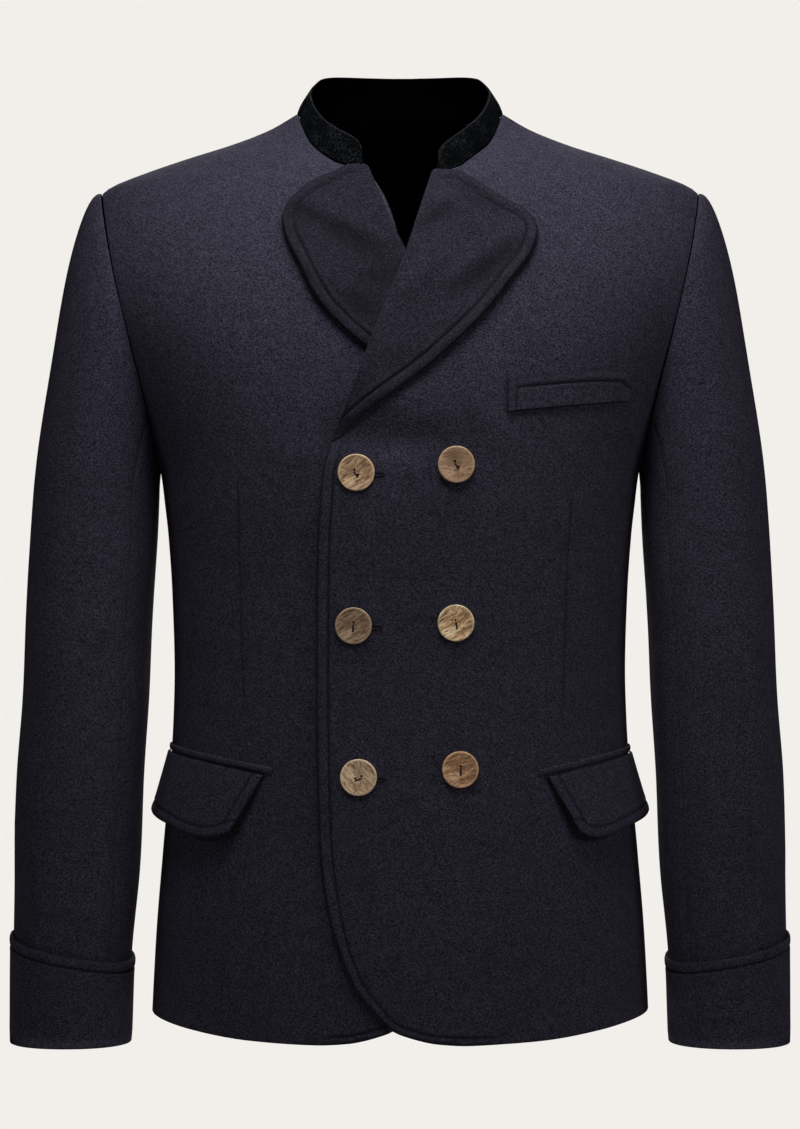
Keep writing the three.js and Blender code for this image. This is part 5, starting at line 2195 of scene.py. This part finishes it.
    def _thread(self, place: ButtonPlace, origin: Array, basis: Array, thread: Material) -> None:
        """Makes the strands that go from hole to hole.

        Args:
            place: the button.
            origin: the middle of its back.
            basis: its own three directions.
            thread: the material.
        """
        reach = self.hole_spacing / 2 + self.strand_reach
        turns = np.linspace(0, np.pi, self.strand_points)
        rise = self.thick - self.strand_foot + self.strand_rise * np.sin(turns) ** 0.5
        side = np.array([0.0, 1.0, 0.0])
        rods = Rods()
        for shift in self.strand_shifts:
            spine = np.stack([-reach * np.cos(turns), shift + 0 * turns, rise], 1)
            run = unit(np.gradient(spine, axis=0))
            rods.add(spine, side, np.cross(run, side), self.thread_thick / 2)
        placed = np.concatenate(rods.points) @ basis + origin
        declare(new_piece("thread_" + place.name, placed, rods.faces, [thread]), "wool")


@dataclass
class Buttonholes:
    """The worked ends of the buttonholes that show beside the outer row of buttons."""

    front: FrontPanel
    places: tuple[tuple[str, float, float], ...]
    length: float = 23.0
    width: float = 2.6
    bead: float = 0.62
    bead_lift: float = 0.18
    points: int = 96

    def build(self, thread: Material) -> None:
        """Makes the bead of stitches round every buttonhole.

        Args:
            thread: the sewing thread's material.
        """
        turn = circle(self.points)
        half = self.length / 2
        for name, x, z in self.places:
            out_x = x - half + half * signed_power(np.cos(turn), 0.5)
            out_z = z + self.width / 2 * signed_power(np.sin(turn), 0.6)
            lift = self.front.lift(out_x, out_z) + self.bead_lift
            spine, normals = self.front.torso.cloth_x(out_x, out_z, lift)
            run = unit(np.roll(spine, -1, 0) - np.roll(spine, 1, 0))
            rods = Rods()
            rods.add(spine, unit(np.cross(run, normals)), normals, self.bead, closed=True)
            declare(new_piece("buttonhole_" + name, rods.points[0], rods.faces, [thread]), "wool")


# ---------------------------------------------------------------- studio


@dataclass(frozen=True)
class SoftLight:
    """A soft square light, in metres and watts."""

    name: str
    place: tuple[float, float, float]
    aim: tuple[float, float, float]
    size: float
    power: float

    def hang(self) -> None:
        """Hangs the light at its place, turned to what it faces."""
        lamp = bpy.data.lights.new(self.name, "AREA")
        lamp.size, lamp.energy = self.size, self.power
        holder = bpy.data.objects.new(self.name, lamp)
        bpy.context.scene.collection.objects.link(holder)
        holder.location = self.place
        away = np.array(self.place) - np.array(self.aim)
        tilt = math.acos(away[2] / np.linalg.norm(away))
        holder.rotation_euler = (tilt, 0.0, math.atan2(away[0], -away[1]))


@dataclass
class Studio:
    """A pale room with soft lights and the camera in front of the jacket."""

    backdrop: Colour = (0.887, 0.863, 0.831)
    fill: float = 0.02
    fill_colour: Colour = (0.9, 0.9, 0.93)
    floor_z: float = -1.35
    floor_size: float = 6.0
    floor_shade: float = 0.93
    camera_y: float = -2.6
    camera_z: float = -0.3438
    lens: float = 107.7
    sensor: float = 36.0
    lights: tuple[SoftLight, ...] = (
        SoftLight("key", place=(0.0, -0.42, 0.4), aim=(0.0, 0.0, -0.15), size=0.4, power=6.8),
        SoftLight("left_fill", place=(2.0, -1.1, 0.4), aim=(0.0, 0.0, -0.3), size=0.8, power=12.5),
        SoftLight("right_fill", place=(-2.0, -1.1, 0.4), aim=(0.0, 0.0, -0.3), size=0.8, power=5.5),
        SoftLight("back_fill", place=(0.0, 2.2, 0.9), aim=(0.0, 0.0, -0.3), size=1.2, power=55.0),
    )

    def build(self) -> None:
        """Makes the world, floor, lights and camera."""
        self._world()
        self._floor()
        for light in self.lights:
            light.hang()
        self._camera()
        bpy.context.scene.view_settings.view_transform = "Standard"

    def _world(self) -> None:
        """Shows the backdrop's colour to the camera and lights the jacket more gently with it."""
        world = bpy.data.worlds.new("pale_room")
        bpy.context.scene.world = world
        world.use_nodes = True
        tree = world.node_tree
        seen = tree.nodes["Background"]
        seen.inputs["Color"].default_value = (*self.backdrop, 1.0)
        lit = tree.nodes.new("ShaderNodeBackground")
        lit.inputs["Color"].default_value = (*self.fill_colour, 1.0)
        lit.inputs["Strength"].default_value = self.fill
        ray, both = tree.nodes.new("ShaderNodeLightPath"), tree.nodes.new("ShaderNodeMixShader")
        tree.links.new(ray.outputs["Is Camera Ray"], both.inputs[0])
        tree.links.new(lit.outputs[0], both.inputs[1])
        tree.links.new(seen.outputs[0], both.inputs[2])
        tree.links.new(both.outputs[0], tree.nodes["World Output"].inputs[0])

    def _floor(self) -> None:
        """Lays a plain floor below the jacket, outside the camera's own view."""
        bpy.ops.object.select_all(action="DESELECT")
        bpy.ops.mesh.primitive_plane_add(size=self.floor_size, location=(0, -0.4, self.floor_z))
        floor = bpy.context.object
        floor.name = "floor"
        sheet = NodeSheet("pale_floor")
        tone = sheet.spread(sheet.noise(3, 2), 0.3, 0.7, 0.97, 1.0)
        colour = sheet.blend(tone, toned(self.backdrop, self.floor_shade), self.backdrop)
        floor.data.materials.append(sheet.shade(colour, Roughness=0.9))

    def _camera(self) -> None:
        """Sets up the camera, level and straight in front."""
        data = bpy.data.cameras.new("camera")
        data.lens, data.sensor_width = self.lens, self.sensor
        data.clip_start, data.clip_end = 0.05, 50.0
        camera = bpy.data.objects.new("camera", data)
        bpy.context.scene.collection.objects.link(camera)
        camera.location = (0.0, self.camera_y, self.camera_z)
        camera.rotation_euler = (math.pi / 2, 0.0, 0.0)
        bpy.context.scene.camera = camera


# ---------------------------------------------------------------- the jacket

WOODS = {
    "button_edge_top": WoodGrain(
        (0.76, 0.54, 0.33), (0.42, 0.27, 0.15), (0.12, 0.065, 0.03),
        turn=35, streak=2.3, contrast=1.9),
    "button_inner_top": WoodGrain(
        (0.52, 0.35, 0.22), (0.34, 0.21, 0.12), (0.13, 0.07, 0.032),
        turn=10, streak=3.2, contrast=1.0, patch=0.7, patch_shift=(-2, 5)),
    "button_edge_middle": WoodGrain(
        (0.48, 0.34, 0.23), (0.28, 0.18, 0.11), (0.09, 0.05, 0.027),
        turn=28, streak=2.2, contrast=1.9),
    "button_inner_middle": WoodGrain(
        (0.95, 0.74, 0.46), (0.66, 0.42, 0.22), (0.15, 0.07, 0.025),
        turn=32, streak=2.6, contrast=2.2),
    "button_edge_bottom": WoodGrain(
        (0.86, 0.63, 0.42), (0.6, 0.41, 0.26), (0.16, 0.09, 0.045),
        turn=-48, streak=2.2, contrast=1.6),
    "button_inner_bottom": WoodGrain(
        (0.76, 0.48, 0.27), (0.37, 0.2, 0.1), (0.13, 0.06, 0.025),
        turn=22, streak=2.8, contrast=1.8),
}
# name, x, height, turn of the holes
BUTTON_PLACES = (
    ("button_edge_top", -31.7, -277.9, -56), ("button_inner_top", 40.7, -272.1, -58),
    ("button_edge_middle", -33.8, -390.1, 88), ("button_inner_middle", 40.7, -388.1, -80),
    ("button_edge_bottom", -30.2, -501.9, 22), ("button_inner_bottom", 43.9, -496.2, 86),
)
# name, far end's x, height
BUTTONHOLE_PLACES = (("top", -11.5, -277.6), ("middle", -13.0, -389.5), ("bottom", -10.8, -501.5))

# start and end, each as x and height, then width and height; on the sleeves, turns in degrees stand for x
LEFT_RIPPLES = folds_of((
    (94, -94, 24, -148, 9, 3.0), (2, -152, 40, -108, 9, 2.8), (6, -88, 46, -72, 8, 2.0),
    (-22, -192, 30, -176, 10, 1.5), (40, -66, 80, -86, 7, -1.2), (92, -106, 32, -152, 8, -2.0),
    (8, -100, 42, -80, 7, -1.7),
))
RIGHT_RIPPLES = folds_of((
    (82, -72, 6, -108, 9, 3.2), (78, -114, 24, -156, 10, 1.9), (-4, -126, 34, -140, 9, -1.5),
    (66, -88, 8, -122, 9, -2.0), (82, -80, 60, -92, 9, -1.6), (42, -142, 20, -166, 10, -1.6),
))
LEFT_ARM_FOLDS = folds_of((
    (75, -300, 40, -420, 13, 1.3), (110, -318, 70, -402, 10, -1.2), (60, -470, 50, -640, 14, 1.2),
    (105, -430, 95, -600, 12, -1.1), (150, -384, 85, -404, 8, -1.2), (160, -412, 100, -436, 8, 1.0),
    (20, -330, 12, -560, 16, -0.9), (250, -320, 300, -450, 13, 1.4), (285, -380, 230, -432, 9, -1.4),
    (280, -460, 300, -640, 15, 1.2), (330, -300, 345, -470, 14, -1.0), (215, -400, 275, -412, 8, 1.1),
))
RIGHT_ARM_FOLDS = folds_of((
    (70, -306, 46, -440, 14, 1.2), (118, -312, 84, -388, 9, -1.2), (54, -490, 60, -650, 13, 1.1),
    (98, -450, 104, -612, 13, -1.2), (155, -396, 92, -420, 9, -1.1), (165, -430, 110, -446, 7, 0.9),
    (24, -350, 8, -540, 15, -1.0), (244, -330, 292, -440, 12, 1.3), (290, -396, 238, -446, 9, -1.3),
    (285, -480, 292, -650, 14, 1.1), (325, -310, 340, -490, 15, -0.9),
))


def main() -> None:
    """Builds the jacket's sub-assemblies in order, then the studio."""
    wool, lining = MeltonWool().material(), Lining().material()
    facing = MeltonWool("facing_wool", depth=0.6).material()
    # the right lapel's wool is darker than the left's: painted shade for the lapel that turns away from the
    # light
    painted_shade_facing = MeltonWool("far_facing_wool", depth=0.5).material()
    velvet, thread = Velvet().material(), Thread().material()
    stitches = Topstitching(thread)
    torso = TorsoForm()
    left = FrontPanel(
        torso, Side.LEFT, LEFT_EDGE + LEFT_NECK_END + NECKLINE, hem_shift=0.0,
        dart=((-279.7, 131.1), (-306.4, 126.7), (-477.8, 120.3)), lifted=True, hem_stitch_end=75.0)
    right = FrontPanel(
        torso, Side.RIGHT, RIGHT_EDGE + RIGHT_NECK_END + NECKLINE, hem_shift=RIGHT_HEM_SHIFT,
        dart=((-263.7, 120.8), (-370.1, 118.6), (-470.3, 115.0)), lifted=False, hem_stitch_end=60.0)
    for panel in (left, right):
        panel.build(wool, lining, stitches)
    for side in Side:
        BackPanel(torso, side, left.levels()).build(wool, lining)
    Lapel(left, LEFT_LAPEL, rolled_share=1.0, ripples=LEFT_RIPPLES).build(facing, stitches)
    Lapel(right, RIGHT_LAPEL, rolled_share=0.3, ripples=RIGHT_RIPPLES).build(painted_shade_facing, stitches)
    StandCollar(torso, left.edge, right.edge).build(velvet, lining)
    for side, folds in ((Side.LEFT, LEFT_ARM_FOLDS), (Side.RIGHT, RIGHT_ARM_FOLDS)):
        Sleeve(SleeveForm(torso, folds), side).build(wool, lining, stitches)
    for pocket in (
            HipPocket(torso, Side.LEFT, front=34.6, top_front=-501, top_side=-487, corner=42.6,
                      corner_z=-541.5),
            HipPocket(torso, Side.RIGHT, front=31.2, top_front=-499.4, top_side=-485.6, corner=39.4,
                      corner_z=-542)):
        pocket.build(wool, stitches)
    ChestPocket(left).build(wool, stitches)
    stitches.build("topstitching")
    places = tuple(ButtonPlace(name, x, z, turn, WOODS[name]) for name, x, z, turn in BUTTON_PLACES)
    Buttons(left, places).build(thread)
    Buttonholes(left, BUTTONHOLE_PLACES).build(thread)
    Studio().build()


if __name__ == "__main__":
    logging.basicConfig(level=logging.INFO, format="%(name)s: %(message)s")
    main()
